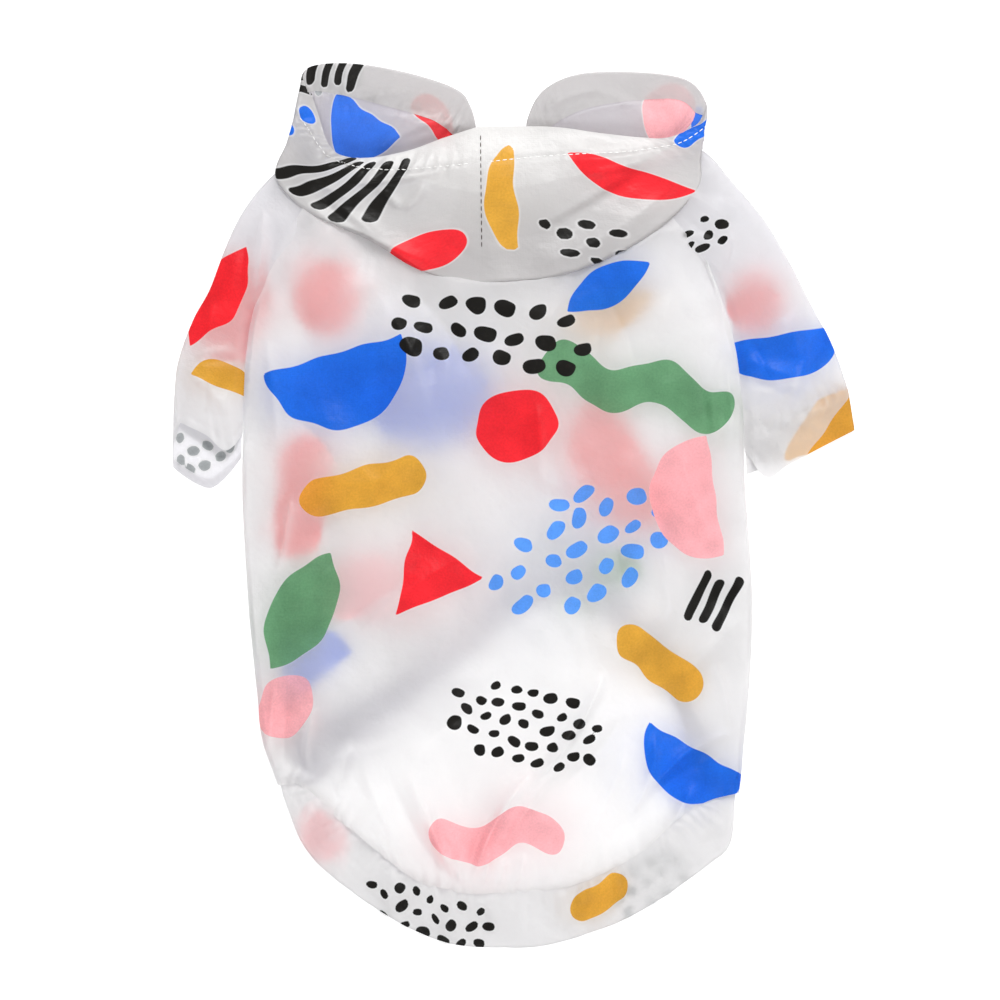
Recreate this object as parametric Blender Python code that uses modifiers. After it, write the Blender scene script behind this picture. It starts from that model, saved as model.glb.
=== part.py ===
"""Dog sun hoodie of thin woven polyester, laid out flat on its belly with its back upwards.

Plan sizes are in millimetres, measured from the middle of the lying garment: +Y runs from the
hem to the hood, +X to the right, and the surface that it lies on is at Z = 0. Each piece that a
maker cuts is one open sheet, placed by its outer face, with Solidify for the cloth's wall.
"""

import math

import bmesh
import bpy
import numpy as np

MM = 0.001

WALL = 1.0  # cloth wall
SEAM = 0.3  # gap between two pieces that are sewn together
ROUND_SEAM = 1.1  # the same gap along the outside of a turn, where the walls lean together
FOLD = 2.0  # outer radius where the cloth turns under at an edge
TOP = 2 * FOLD  # outer face of the upper layer at such an edge
HALF_TURN = math.pi * FOLD  # cloth used up by the whole turn
SIDE_SEAM_IN = 12.0  # the side seam lies this far in from the edge, underneath
ARMPIT_Y = 62.0  # where the side seam comes up to the edge and the sleeve starts
SEAM_RISE = 22.0  # stretch below the armpit over which the side seam drifts out to the edge

# Edge of the body: y, x. Above the raglan seam the same line runs on under the sleeve's top.
LEFT_EDGE = (
    (-150.0, -82.5), (-132.0, -91.8), (-115.0, -98.9), (-98.0, -104.4), (-77.0, -106.9),
    (-35.0, -110.7), (2.5, -112.8), (28.0, -112.8), (74.0, -109.8), (86.0, -107.4),
    (112.0, -103.5), (140.0, -99.0),
)
RIGHT_EDGE = (
    (-150.0, 84.0), (-140.0, 92.3), (-123.0, 94.8), (-98.0, 97.4), (-73.0, 99.9),
    (-39.5, 100.9), (8.4, 98.0), (66.0, 93.9), (92.0, 86.5), (101.6, 83.0),
    (120.0, 78.0), (140.0, 72.0),
)

# Raglan seam on the back, from the body's edge up to the neck: y, x.
LEFT_RAGLAN = ((86.0, -107.4), (101.0, -100.0), (116.7, -92.3), (136.0, -80.0))
RIGHT_RAGLAN = ((101.6, 83.0), (112.0, 75.0), (122.6, 66.2), (136.0, 54.0))

# Raglan seam underneath, from the armpit up to the throat: y, x.
LEFT_BELLY_RAGLAN = ((ARMPIT_Y, -110.9), (95.0, -92.0), (130.0, -70.0))
RIGHT_BELLY_RAGLAN = ((ARMPIT_Y, 93.9), (95.0, 70.0), (130.0, 45.0))

BACK_NECK = (
    (-80.0, 136.0), (-60.0, 126.0), (-38.0, 119.5), (-13.5, 117.0), (11.0, 119.5),
    (34.0, 126.0), (54.0, 136.0),
)
THROAT_NECK = (
    (-70.0, 130.0), (-45.0, 114.0), (-28.0, 108.5), (-9.5, 105.0), (6.0, 107.5),
    (20.0, 113.0), (45.0, 130.0),
)

# Seam between the back and the hem band: x, y.
HEM_SEAM = (
    (-99.0, -117.0), (-90.0, -116.5), (-82.5, -121.4), (-69.9, -134.0), (-55.2, -145.3),
    (-42.6, -155.5), (-30.0, -160.4), (-17.4, -162.5), (-2.7, -162.5), (12.0, -161.5),
    (27.7, -158.5), (41.5, -152.5), (58.1, -142.4), (67.9, -133.0), (81.2, -124.3),
    (94.5, -120.5),
)
# Arched hem of the belly, from one side seam to the other: x, y.
BELLY_HEM = (
    (-87.0, -114.0), (-69.9, -104.6), (-50.2, -92.4), (-25.8, -71.0), (-8.0, -54.0),
    (14.0, -43.0), (37.0, -48.0), (56.0, -65.0), (71.0, -91.0), (82.0, -117.0),
)
# Hem band: a point of its seam, then the point of its outer fold opposite: x, y, x, y.
HEM_BAND = (
    (-90.2, -117.0, -98.0, -118.0), (-82.5, -121.4, -93.5, -128.3), (-69.9, -134.0, -85.6, -145.2),
    (-55.2, -145.3, -70.5, -159.4), (-42.6, -155.5, -52.0, -172.2), (-30.0, -160.4, -34.0, -181.2),
    (-17.4, -162.5, -19.0, -184.9), (-2.7, -162.5, -2.7, -185.4), (12.0, -161.5, 13.5, -184.8),
    (27.7, -158.5, 31.0, -180.0), (41.5, -152.5, 48.5, -173.2), (58.1, -142.4, 67.5, -161.8),
    (67.9, -133.0, 83.0, -150.5), (76.0, -127.3, 91.8, -141.3), (85.0, -123.6, 94.5, -121.6),
)

# Heights up the sides at which the rows of the back and of the belly end.
LEVELS = (-94.0, -70.0, -45.0, -20.0, 5.0, 24.0, 40.0, 46.0, 52.0, 57.0, ARMPIT_Y)
BACK_LEVELS = (-117.0, *LEVELS, 70.0, 78.0, 86.0, 93.0, 101.6, 112.0, 121.0, 129.0, 136.0)
BELLY_LEVELS = (-115.5, *LEVELS, 78.0, 95.0, 112.0, 130.0)
INNER_MARGIN = 6.0  # the back's evenly spaced columns start this far inside the turn
CLOSEST = 0.45  # least gap between two columns of points
HEM_BEND = 6  # how fast the back's rows stop following the hem on the way up
NECK_BEND = 0.1  # share of the back's length over which its rows take the neck's curve
ARCH_END = 0.03  # share of the arched hem that the belly's side margins take at each end

# How far the upper layer of the body stands over its edge: y, middle x, half width, height.
DOME = (
    (-165.0, -2.0, 76.0, 2.6), (-115.0, -2.5, 92.0, 5.5), (-60.0, -5.0, 98.0, 6.5),
    (0.0, -8.0, 101.0, 6.5), (60.0, -9.0, 99.0, 6.0), (100.0, -11.0, 94.0, 5.2),
    (135.0, -13.0, 84.0, 4.4), (160.0, -14.0, 78.0, 3.6),
)
DOME_POWER = 1.3  # over 1 gives the dome a softer foot
HEM_RISE = 22.0  # the dome rises from the hem seam over about this length

# Sleeve, from the neck to the cuff: inner edge of the upper layer, outer fold, outer fold of the
# lower layer, inner edge of the lower layer, then how far the lower cuff bows outwards.
LEFT_SLEEVE = (
    (-80.3, 136.3, -84.0, 147.0, -84.0, 147.0, -70.3, 130.3, 0.0),
    (-86.5, 126.5, -97.2, 141.1, -97.2, 141.1, -79.6, 115.9, 0.0),
    (-92.6, 116.9, -109.4, 128.5, -109.4, 128.5, -86.6, 104.5, 0.0),
    (-100.3, 101.2, -118.7, 111.7, -118.7, 111.7, -97.4, 87.6, 0.0),
    (-107.9, 86.0, -126.4, 91.5, -126.4, 91.5, -108.5, 68.2, 0.0),
    (-111.2, 69.0, -133.5, 78.1, -133.5, 78.1, -111.9, 60.0, 0.0),
    (-112.2, 55.0, -139.7, 61.3, -139.7, 61.3, -112.4, 50.0, 0.0),
    (-113.0, 40.0, -141.2, 48.0, -142.0, 42.0, -113.0, 37.0, 2.0),
    (-113.4, 21.8, -140.2, 35.7, -143.6, 16.2, -113.4, 20.4, 11.0),
)
RIGHT_SLEEVE = (
    (54.3, 136.3, 62.0, 147.0, 62.0, 147.0, 45.3, 130.3, 0.0),
    (60.4, 129.6, 79.2, 149.5, 79.2, 149.5, 57.5, 112.6, 0.0),
    (66.5, 122.9, 91.8, 136.9, 91.8, 136.9, 68.0, 99.0, 0.0),
    (75.3, 112.2, 106.0, 120.1, 106.0, 120.1, 80.4, 82.9, 0.0),
    (83.5, 101.8, 116.1, 103.3, 116.1, 103.3, 91.5, 67.7, 0.0),
    (90.1, 82.0, 126.5, 83.0, 126.5, 83.0, 95.3, 61.2, 0.0),
    (95.7, 58.0, 134.5, 68.0, 134.5, 68.0, 96.3, 51.0, 0.0),
    (97.6, 36.0, 140.6, 50.0, 140.6, 50.0, 97.8, 34.0, 0.0),
    (98.6, 14.8, 144.3, 31.8, 144.3, 31.0, 98.6, 12.8, 6.5),
)

# Hood halves, from the throat round the side to the crown: point on the neck seam, point where
# the cloth rolls over, point on the rim, the roll's outer radius, and the height of the rim.
# Where the radius is 0 the cloth runs straight from the neck to the rim, on the surface below.
LEFT_HOOD = (
    (-9.75, 105.4, 0.0, 0.0, -5.25, 139.0, 0.0, 0.0),
    (-28.0, 108.9, 0.0, 0.0, -13.0, 152.0, 0.0, 0.0),
    (-45.0, 114.5, 0.0, 0.0, -17.0, 167.0, 0.0, 0.0),
    (-57.8, 122.4, 0.0, 0.0, -24.0, 174.9, 0.0, 0.0),
    (-70.3, 131.0, 0.0, 0.0, -46.8, 181.9, 0.0, 0.0),
    (-78.0, 140.5, 0.0, 0.0, -69.9, 185.2, 0.0, 0.0),
    (-84.0, 148.0, 0.0, 0.0, -85.6, 183.2, 0.0, 0.0),
    (-86.0, 149.6, -89.1, 174.0, -84.2, 174.5, 0.8, 2.4),
    (-86.4, 149.4, -91.5, 162.0, -80.6, 163.0, 1.4, 4.6),
    (-86.2, 148.6, -94.3, 152.0, -76.6, 151.6, 1.9, 7.0),
    (-80.5, 137.0, -98.8, 137.5, -70.0, 146.3, 2.2, 8.2),
    (-66.0, 129.0, -84.0, 122.0, -57.0, 146.0, 2.2, 8.6),
    (-50.0, 122.8, -60.0, 111.5, -43.0, 148.8, 2.2, 8.8),
    (-35.0, 118.9, -37.5, 98.2, -29.0, 153.8, 2.2, 9.0),
    (-13.75, 117.2, -13.75, 92.8, -14.25, 158.8, 2.2, 9.0),
)
RIGHT_HOOD = (
    (-9.25, 105.4, 0.0, 0.0, -4.75, 139.0, 0.0, 0.0),
    (6.0, 107.9, 0.0, 0.0, 4.5, 150.0, 0.0, 0.0),
    (20.0, 113.4, 0.0, 0.0, 6.9, 163.0, 0.0, 0.0),
    (33.0, 121.9, 0.0, 0.0, 13.4, 174.0, 0.0, 0.0),
    (45.3, 131.0, 0.0, 0.0, 28.0, 180.5, 0.0, 0.0),
    (54.6, 140.8, 0.0, 0.0, 52.0, 181.4, 0.0, 0.0),
    (61.8, 148.2, 0.0, 0.0, 72.6, 178.6, 0.0, 0.0),
    (63.6, 149.8, 0.0, 0.0, 81.0, 170.3, 0.0, 0.0),
    (64.4, 149.9, 82.0, 163.5, 79.4, 162.4, 0.8, 3.4),
    (64.6, 149.4, 80.7, 156.5, 74.0, 157.6, 1.7, 6.4),
    (54.8, 137.0, 79.4, 146.0, 65.0, 154.0, 2.2, 8.0),
    (42.0, 130.3, 77.5, 132.0, 54.0, 154.2, 2.2, 8.6),
    (28.0, 124.2, 57.0, 112.5, 38.0, 156.0, 2.2, 8.8),
    (10.0, 119.8, 24.0, 97.2, 16.0, 158.8, 2.2, 9.0),
    (-13.25, 117.2, -13.25, 92.8, -13.75, 158.8, 2.2, 9.0),
)
ROUND_START = 6.5  # from this section on the hood's cloth climbs off the surface
ROUND_SIDE = 2.6  # sections that it takes to come on to the body's top
THROAT_GAP = 0.4  # between the throat's edge and the hood under the neck

CLOTH = (0.91, 0.91, 0.93)
COLOURS = {
    "back_panel": CLOTH,
    "belly_panel": (0.84, 0.84, 0.87),
    "sleeve_left": (0.90, 0.80, 0.80),
    "sleeve_right": (0.80, 0.84, 0.92),
    "hem_band": (0.88, 0.88, 0.86),
    "hood_left": (0.84, 0.86, 0.93),
    "hood_right": (0.92, 0.84, 0.86),
}


def through(rows, at):
    """Value at `at` on a smooth curve through rows of (place, value, ...), one for each column."""
    rows = np.asarray(rows, float)
    place, value = rows[:, 0], rows[:, 1:]
    step = np.diff(place)
    slope = np.diff(value, axis=0) / step[:, None]
    tangent = np.vstack([slope[:1], slope[-1:]]) if len(step) == 1 else np.vstack(
        [slope[:1], (slope[:-1] * step[1:, None] + slope[1:] * step[:-1, None])
         / (step[1:] + step[:-1])[:, None], slope[-1:]]
    )
    at = float(np.clip(at, place[0], place[-1]))
    i = int(np.clip(np.searchsorted(place, at) - 1, 0, len(step) - 1))
    h = step[i]
    u = (at - place[i]) / h
    return (
        value[i] * (2 * u**3 - 3 * u**2 + 1) + h * tangent[i] * (u**3 - 2 * u**2 + u)
        + value[i + 1] * (3 * u**2 - 2 * u**3) + h * tangent[i + 1] * (u**3 - u**2)
    )


def along(rows, share):
    """Point at a share from 0 to 1 of the way along the rows, by row number."""
    numbered = [(i / (len(rows) - 1), *row) for i, row in enumerate(rows)]
    return through(numbered, share)


def ease(value):
    value = min(max(value, 0.0), 1.0)
    return value * value * (3 - 2 * value)


def edge_x(side, y):
    return through(LEFT_EDGE if side < 0 else RIGHT_EDGE, y)[0]


def hem_y(x):
    return through(HEM_SEAM, x)[0]


def throat_y(x):
    return through(THROAT_NECK, x)[0]


def top_z(x, y):
    """Outer face of the upper layer of body and sleeves."""
    middle, half, height = through(DOME, y)
    across = (x - middle) / half
    if abs(across) >= 1:
        return TOP
    rise = 1 - math.exp(-max(y - hem_y(x), 0.0) / HEM_RISE)
    return TOP + height * (1 - across * across) ** DOME_POWER * rise


def turned(side, y, out):
    """Outer face of the body `out` mm beyond the line where the upper layer starts to turn."""
    edge = edge_x(side, y)
    if out <= 0:
        x = edge - side * (FOLD - out)
        return x, y, top_z(x, y)
    if out < HALF_TURN:
        angle = out / FOLD
        return edge - side * FOLD * (1 - math.sin(angle)), y, FOLD * (1 + math.cos(angle))
    return edge - side * (FOLD + out - HALF_TURN), y, 0.0


def out_at(depth, underneath):
    """The `out` of turned() at this depth in from the edge, on the upper or the lower layer."""
    if depth >= FOLD:
        return HALF_TURN + depth - FOLD if underneath else FOLD - depth
    angle = math.asin(1 - depth / FOLD)
    return FOLD * (math.pi - angle if underneath else angle)


def side_seam_out(y):
    drift = ease((ARMPIT_Y - y) / SEAM_RISE)
    fold_middle = HALF_TURN / 2
    return fold_middle + drift * (HALF_TURN + SIDE_SEAM_IN - FOLD - fold_middle)


def back_seam_out(side, y):
    """Where the back ends: at the side seam, on the fold beside the sleeve, or at the raglan."""
    raglan = LEFT_RAGLAN if side < 0 else RIGHT_RAGLAN
    if y <= ARMPIT_Y:
        return side_seam_out(y)
    if y <= raglan[0][0]:
        return HALF_TURN / 2
    return out_at(abs(through(raglan, y)[0] - edge_x(side, y)), False)


def belly_seam_out(side, y):
    if y <= ARMPIT_Y:
        out = side_seam_out(y)
        return out + ROUND_SEAM - (ROUND_SEAM - SEAM) * ease((out - HALF_TURN / 2) / HALF_TURN)
    raglan = LEFT_BELLY_RAGLAN if side < 0 else RIGHT_BELLY_RAGLAN
    depth = abs(through(raglan, y)[0] - edge_x(side, y))
    return max(out_at(depth, True), HALF_TURN / 2 + ROUND_SEAM)


def sheet(name, rows, outer_face_flipped=False):
    """A cloth piece: a grid moved on to these rows of outer-face points, then given its wall.

    The outer face looks along (direction of a row) x (direction from row to row), or the other
    way where it is flipped.
    """
    down, across = len(rows), len(rows[0])
    cloth = bmesh.new()
    bmesh.ops.create_grid(cloth, x_segments=across - 1, y_segments=down - 1, size=1.0)
    cloth.verts.ensure_lookup_table()
    for vert, point in zip(cloth.verts, (point for row in rows for point in row)):
        vert.co = [value * MM for value in point]
    if outer_face_flipped:
        bmesh.ops.reverse_faces(cloth, faces=cloth.faces)
    mesh = bpy.data.meshes.new(name)
    cloth.to_mesh(mesh)
    cloth.free()
    mesh.shade_smooth()
    piece = bpy.data.objects.new(name, mesh)
    wall = piece.modifiers.new("cloth_wall", "SOLIDIFY")
    wall.thickness = WALL * MM
    wall.offset = -1
    wall.use_quality_normals = True
    mesh.materials.append(cloth_material(name, COLOURS[name]))
    collection.objects.link(piece)
    return piece


def cloth_material(name, colour):
    material = bpy.data.materials.new(name)
    material.use_nodes = True
    shader = material.node_tree.nodes["Principled BSDF"]
    shader.inputs["Base Color"].default_value = (*colour, 1.0)
    shader.inputs["Roughness"].default_value = 0.55
    shader.inputs["Metallic"].default_value = 0.0
    return material


def back_panel():
    """The dog's back: domed above, turned under along both sides as far as the side seams."""
    turn = [share * HALF_TURN for share in (1.0, 0.75, 0.5, 0.25, 0.0)]
    margin = [side_seam_out(LEVELS[0]), *turn, -INNER_MARGIN]
    hem = [row[:2] for row in HEM_BAND[1:-1]]
    rows = []
    for level in BACK_LEVELS:
        t = (level - BACK_LEVELS[0]) / (BACK_LEVELS[-1] - BACK_LEVELS[0])
        left, right = (
            [margin_point(side, level, max_out(out, side, level, k), t)
             for k, out in enumerate(margin)]
            for side in (-1, 1)
        )
        row = list(left)
        for k, (hem_x, low) in enumerate(hem, start=1):
            share = k / (len(hem) + 1)
            at_hem = (hem_x - HEM_BAND[0][0]) / (HEM_BAND[-1][0] - HEM_BAND[0][0])
            share = at_hem + (share - at_hem) * ease(t)
            x = left[-1][0] + (right[-1][0] - left[-1][0]) * share
            if level == BACK_LEVELS[0]:
                x = hem_x
            neck_x = BACK_NECK[0][0] + (BACK_NECK[-1][0] - BACK_NECK[0][0]) * share
            y = low + (through(BACK_NECK, neck_x)[0] - low) * t
            row.append((x, y, top_z(x, y)))
        rows.append(row + right[::-1])
    return sheet("back_panel", rows)


def max_out(out, side, y, column):
    """Columns past the seam are drawn up side by side just inside it."""
    return min(out, back_seam_out(side, y) - CLOSEST * column)


def margin_point(side, y, out, t):
    """A point of the back's margin: its row bends to follow the hem below and the neck above."""
    x = turned(side, y, out)[0]
    edge = edge_x(side, y)
    depth = min(abs(x - edge), FOLD + INNER_MARGIN)
    y += (hem_y(edge - side * depth) - BACK_LEVELS[0]) * (1 - t) ** HEM_BEND
    y += (through(BACK_NECK, x)[0] - BACK_LEVELS[-1]) * ease((t - 1 + NECK_BEND) / NECK_BEND)
    return turned(side, y, out)


def belly_panel():
    """Chest and belly, flat on the surface, with an arched hem and a scooped throat."""
    marks = (HALF_TURN * 0.75, HALF_TURN, HALF_TURN + SIDE_SEAM_IN + 2.0)
    middle_columns = 14
    drawn_in = CLOSEST * len(marks)
    throat = (THROAT_NECK[0][0] + drawn_in, THROAT_NECK[-1][0] - drawn_in)
    rows = []
    for level in BELLY_LEVELS:
        t = (level - BELLY_LEVELS[0]) / (BELLY_LEVELS[-1] - BELLY_LEVELS[0])
        ends = []
        for side in (-1, 1):
            seam = belly_seam_out(side, level)
            outs = [seam, *(max(m, seam + CLOSEST * (k + 1)) for k, m in enumerate(marks))]
            end = [turned(side, level, out) for out in outs]
            if level == BELLY_LEVELS[-1]:
                end = [(x, throat_y(x), z) for x, _, z in end]
            ends.append(end)
        row = list(ends[0])
        for k in range(1, middle_columns):
            share = k / middle_columns
            x = row[len(marks)][0] + (ends[1][-1][0] - row[len(marks)][0]) * share
            low = along(BELLY_HEM, ARCH_END + (1 - 2 * ARCH_END) * share)[1]
            high = throat_y(throat[0] + (throat[1] - throat[0]) * share)
            row.append((x, low + (high - low) * t, 0.0))
        rows.append(row + ends[1][::-1])
    return sheet("belly_panel", rows, outer_face_flipped=True)


def sleeve(name, table):
    """A short raglan sleeve: a tube lying flat, turned at its outer side, open at the cuff."""
    top_shares = (0.0, 0.12, 0.3, 0.5, 0.7, 0.86)
    rows_down, first_free_row = 16, 4.0
    inner_drop, drop_over = 0.9, 5.0
    rows = []
    for j in range(rows_down + 1):
        t = j / rows_down
        ix, iy, ox, oy, ux, uy, bx, by, bow = along(table, t)
        inner, outer = np.array([ix, iy]), np.array([ox, oy])
        lower_outer, lower_inner = np.array([ux, uy]), np.array([bx, by])
        free = ease(t * (len(table) - 1) - first_free_row + 1)
        row = []
        across = inner - outer
        width = np.linalg.norm(across)
        across /= width
        for share in top_shares:
            x, y = inner - across * (width - FOLD) * share
            drop = inner_drop * free * (1 - ease(share * width / drop_over))
            row.append((x, y, top_z(x, y) - drop))
        under = lower_inner - lower_outer
        under_width = np.linalg.norm(under)
        under /= under_width
        for angle in (0, 45, 90, 135, 180):
            turn = math.radians(angle)
            corner = outer + (lower_outer - outer) * angle / 180
            direction = across + (under - across) * angle / 180
            x, y = corner + direction * FOLD * (1 - math.sin(turn))
            row.append((x, y, FOLD * (1 + math.cos(turn))))
        sideways = np.array([-under[1], under[0]]) * (-1 if under[0] > 0 else 1)
        for share in reversed(top_shares):
            x, y = lower_inner - under * (under_width - FOLD) * share
            x, y = np.array([x, y]) + sideways * bow * 4 * share * (1 - share)
            row.append((x, y, 0.0))
        rows.append(row)
    return sheet(name, rows, outer_face_flipped=table is RIGHT_SLEEVE)


def hem_band():
    """Band along the back's hem: a strip folded lengthwise round the garment's lower edge."""
    shares = (0.0, 0.33, 0.66, 1.0)
    steps = 2 * (len(HEM_BAND) - 1)
    rows = []
    for j in range(steps + 1):
        sx, sy, ox, oy = along(HEM_BAND, j / steps)
        if j % 2:
            sx, sy = (np.add(HEM_BAND[j // 2], HEM_BAND[j // 2 + 1]) / 2)[:2]
        seam, outer = np.array([sx, sy]), np.array([ox, oy])
        across = (seam - outer) / np.linalg.norm(seam - outer)
        seam = seam - across * SEAM
        width = np.linalg.norm(seam - outer)
        row = [(*(seam - across * (width - FOLD) * share), TOP) for share in shares]
        for angle in (45, 90, 135):
            turn = math.radians(angle)
            row.append((*(outer + across * FOLD * (1 - math.sin(turn))), FOLD * (1 + math.cos(turn))))
        row += [(*(seam - across * (width - FOLD) * share), 0.0) for share in reversed(shares)]
        rows.append(row)
    return sheet("hem_band", rows)


def hood_base(section, x, y):
    """Height of what the hood's cloth lies on, at this section from the throat to the crown."""
    return (top_z(x, y) + SEAM) * ease((section - ROUND_START) / ROUND_SIDE)


def hood_half(name, table):
    """Half a hood pushed back: up from the neck, rolled over the back, and forward to its rim."""
    columns, under_steps, turn_steps, top_steps = 28, 3, 4, 5
    rows = []
    for j in range(columns + 1):
        section = j / columns * (len(table) - 1)
        nx, ny, ex, ey, rx, ry, radius, rim_z = hood_section(table, section)
        neck, rim = np.array([nx, ny]), np.array([rx, ry])
        steps = under_steps + turn_steps + top_steps
        if radius <= 0:
            rows.append([(*(neck + (rim - neck) * k / steps), 0.0) for k in range(steps + 1)])
            continue
        roll = np.array([ex, ey])
        inward = (neck - roll) / np.linalg.norm(neck - roll)
        back = (rim - roll) / max(np.linalg.norm(rim - roll), 1e-6)
        start = roll + inward * radius
        base = hood_base(section, *start)
        row = []
        for k in range(under_steps):
            x, y = neck + (start - neck) * k / under_steps
            row.append((x, y, hood_base(section, x, y)))
        for k in range(turn_steps):
            turn = math.pi * k / turn_steps
            direction = inward + (back - inward) * k / turn_steps
            x, y = roll + direction * radius * (1 - math.sin(turn))
            row.append((x, y, base + radius * (1 - math.cos(turn))))
        over = roll + back * min(radius, 0.5 * np.linalg.norm(rim - roll))
        for k in range(top_steps + 1):
            share = k / top_steps
            x, y = over + (rim - over) * share
            high = base + 2 * radius
            row.append((x, y, high + (rim_z - high) * ease(share)))
        rows.append(row)
    return sheet(name, rows, outer_face_flipped=table is LEFT_HOOD)


def hood_section(table, section):
    """Row between two rows of the table. The roll grows out of the rim, so it starts there."""
    filled = [row if row[6] > 0 else (row[0], row[1], row[4], row[5], *row[4:]) for row in table]
    first_rolled = min(i for i, row in enumerate(table) if row[6] > 0)
    values = along(filled, section / (len(table) - 1))
    if THROAT_NECK[0][0] < values[0] < THROAT_NECK[-1][0] and section < first_rolled - 1:
        values[1] = throat_y(values[0]) + THROAT_GAP
    if section <= first_rolled - 1:
        values[6] = 0.0
    return values


def centre_in_plan(pieces):
    """Brings the middle of the whole garment's box over the origin."""
    places = np.array([vert.co[:2] for piece in pieces for vert in piece.data.vertices])
    middle = (places.min(axis=0) + places.max(axis=0)) / 2
    for piece in pieces:
        for vert in piece.data.vertices:
            vert.co.x -= middle[0]
            vert.co.y -= middle[1]


for old in list(bpy.data.objects):
    bpy.data.objects.remove(old)
collection = bpy.data.collections.new("dog_sun_hoodie")
bpy.context.scene.collection.children.link(collection)

PIECES = [
    back_panel(),
    belly_panel(),
    sleeve("sleeve_left", LEFT_SLEEVE),
    sleeve("sleeve_right", RIGHT_SLEEVE),
    hem_band(),
    hood_half("hood_left", LEFT_HOOD),
    hood_half("hood_right", RIGHT_HOOD),
]
centre_in_plan(PIECES)
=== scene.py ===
"""Looks of a dog sun hoodie: thin printed polyester, laid flat on its belly with its hood pushed back.

Every cut piece is a sheet of cloth, a fine grid laid where its solid lies. Plan sizes are in
millimetres from the middle of the lying garment, +Y from the hem to the hood. A point also
keeps its place on the flat cut, which the weave and the print follow.
"""

import math

import bmesh
import bpy
import numpy as np
from mathutils import Matrix, Vector


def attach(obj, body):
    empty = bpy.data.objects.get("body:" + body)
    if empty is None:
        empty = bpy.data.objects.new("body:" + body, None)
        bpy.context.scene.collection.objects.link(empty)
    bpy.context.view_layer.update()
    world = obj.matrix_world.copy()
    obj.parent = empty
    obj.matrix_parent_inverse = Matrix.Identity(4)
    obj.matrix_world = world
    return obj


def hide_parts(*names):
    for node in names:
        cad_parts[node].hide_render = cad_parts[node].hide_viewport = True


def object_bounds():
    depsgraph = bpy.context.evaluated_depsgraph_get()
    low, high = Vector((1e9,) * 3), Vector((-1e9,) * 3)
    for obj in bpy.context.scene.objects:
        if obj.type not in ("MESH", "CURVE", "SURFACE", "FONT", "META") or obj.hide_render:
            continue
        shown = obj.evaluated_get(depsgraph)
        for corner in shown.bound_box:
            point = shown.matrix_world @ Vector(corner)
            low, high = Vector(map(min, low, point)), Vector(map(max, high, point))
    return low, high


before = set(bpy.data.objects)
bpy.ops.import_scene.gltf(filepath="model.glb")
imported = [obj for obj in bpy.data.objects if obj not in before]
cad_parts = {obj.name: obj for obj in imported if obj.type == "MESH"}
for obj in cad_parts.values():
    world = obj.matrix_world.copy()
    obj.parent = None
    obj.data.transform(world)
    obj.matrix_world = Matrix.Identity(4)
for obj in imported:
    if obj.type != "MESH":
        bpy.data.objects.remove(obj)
CAD_LOW, CAD_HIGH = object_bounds()

MM = 0.001
SHIFT = np.array([-1.06, 0.115, 0])  # from the plan's middle to the frame's, in millimetres

# ---- How the garment lies ----

REST = 0.4  # the lowest cloth lies this far off the surface
FOLD = 1.4  # radius at which the thin cloth turns under at an edge
TOP = REST + 2 * FOLD  # the upper layer at such an edge
HALF_TURN = math.pi * FOLD  # cloth used up by the turn
SIDE_SEAM_IN = 12  # the side seam lies this far in from the edge, underneath
ARMPIT_Y = 62
ALLOWANCE = 3  # seam allowance that shows as a second layer beside a seam
SEAM_RISE = 22  # below the armpit the side seam drifts out to the edge over this length

# Edge of the body: y, x. Above the raglan seam the same line runs on under the sleeve's top.
LEFT_EDGE = (
    (-150, -82.5), (-132, -91.8), (-115, -98.9), (-98, -104.4), (-77, -106.9), (-35, -110.7),
    (2.5, -112.8), (28, -112.8), (74, -109.8), (86, -107.4), (112, -103.5), (140, -99),
)
RIGHT_EDGE = (
    (-150, 84), (-140, 92.3), (-123, 94.8), (-98, 97.4), (-73, 99.9), (-39.5, 100.9), (8.4, 98),
    (66, 93.9), (92, 86.5), (101.6, 83), (120, 78), (140, 72),
)
# Raglan seams, on the back from the body's edge to the neck, and underneath: y, x.
LEFT_RAGLAN = ((86, -107.4), (101, -100), (116.7, -92.3), (136, -80))
RIGHT_RAGLAN = ((101.6, 83), (112, 75), (122.6, 66.2), (136, 54))
LEFT_BELLY_RAGLAN = ((ARMPIT_Y, -110.9), (95, -92), (130, -70))
RIGHT_BELLY_RAGLAN = ((ARMPIT_Y, 93.9), (95, 70), (130, 45))
# Neck edges, the hem seam of the back and the arched hem of the belly: x, y.
BACK_NECK = (
    (-80, 136), (-60, 126), (-38, 119.5), (-13.5, 117), (11, 119.5),
    (34, 126), (54, 136),
)
THROAT_NECK = (
    (-70, 130), (-45, 114), (-28, 108.5), (-9.5, 105), (6, 107.5),
    (20, 113), (45, 130),
)
HEM_SEAM = (
    (-99, -117), (-90, -116.5), (-82.5, -121.4), (-69.9, -134), (-55.2, -145.3), (-42.6, -155.5),
    (-30, -160.4), (-17.4, -162.5), (-2.7, -162.5), (12, -161.5), (27.7, -158.5), (41.5, -152.5),
    (58.1, -142.4), (67.9, -133), (81.2, -124.3), (94.5, -120.5),
)
BELLY_HEM = (
    (-87, -114), (-69.9, -104.6), (-50.2, -92.4), (-25.8, -71), (-8, -54),
    (14, -43), (37, -48), (56, -65), (71, -91), (82, -117),
)
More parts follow.
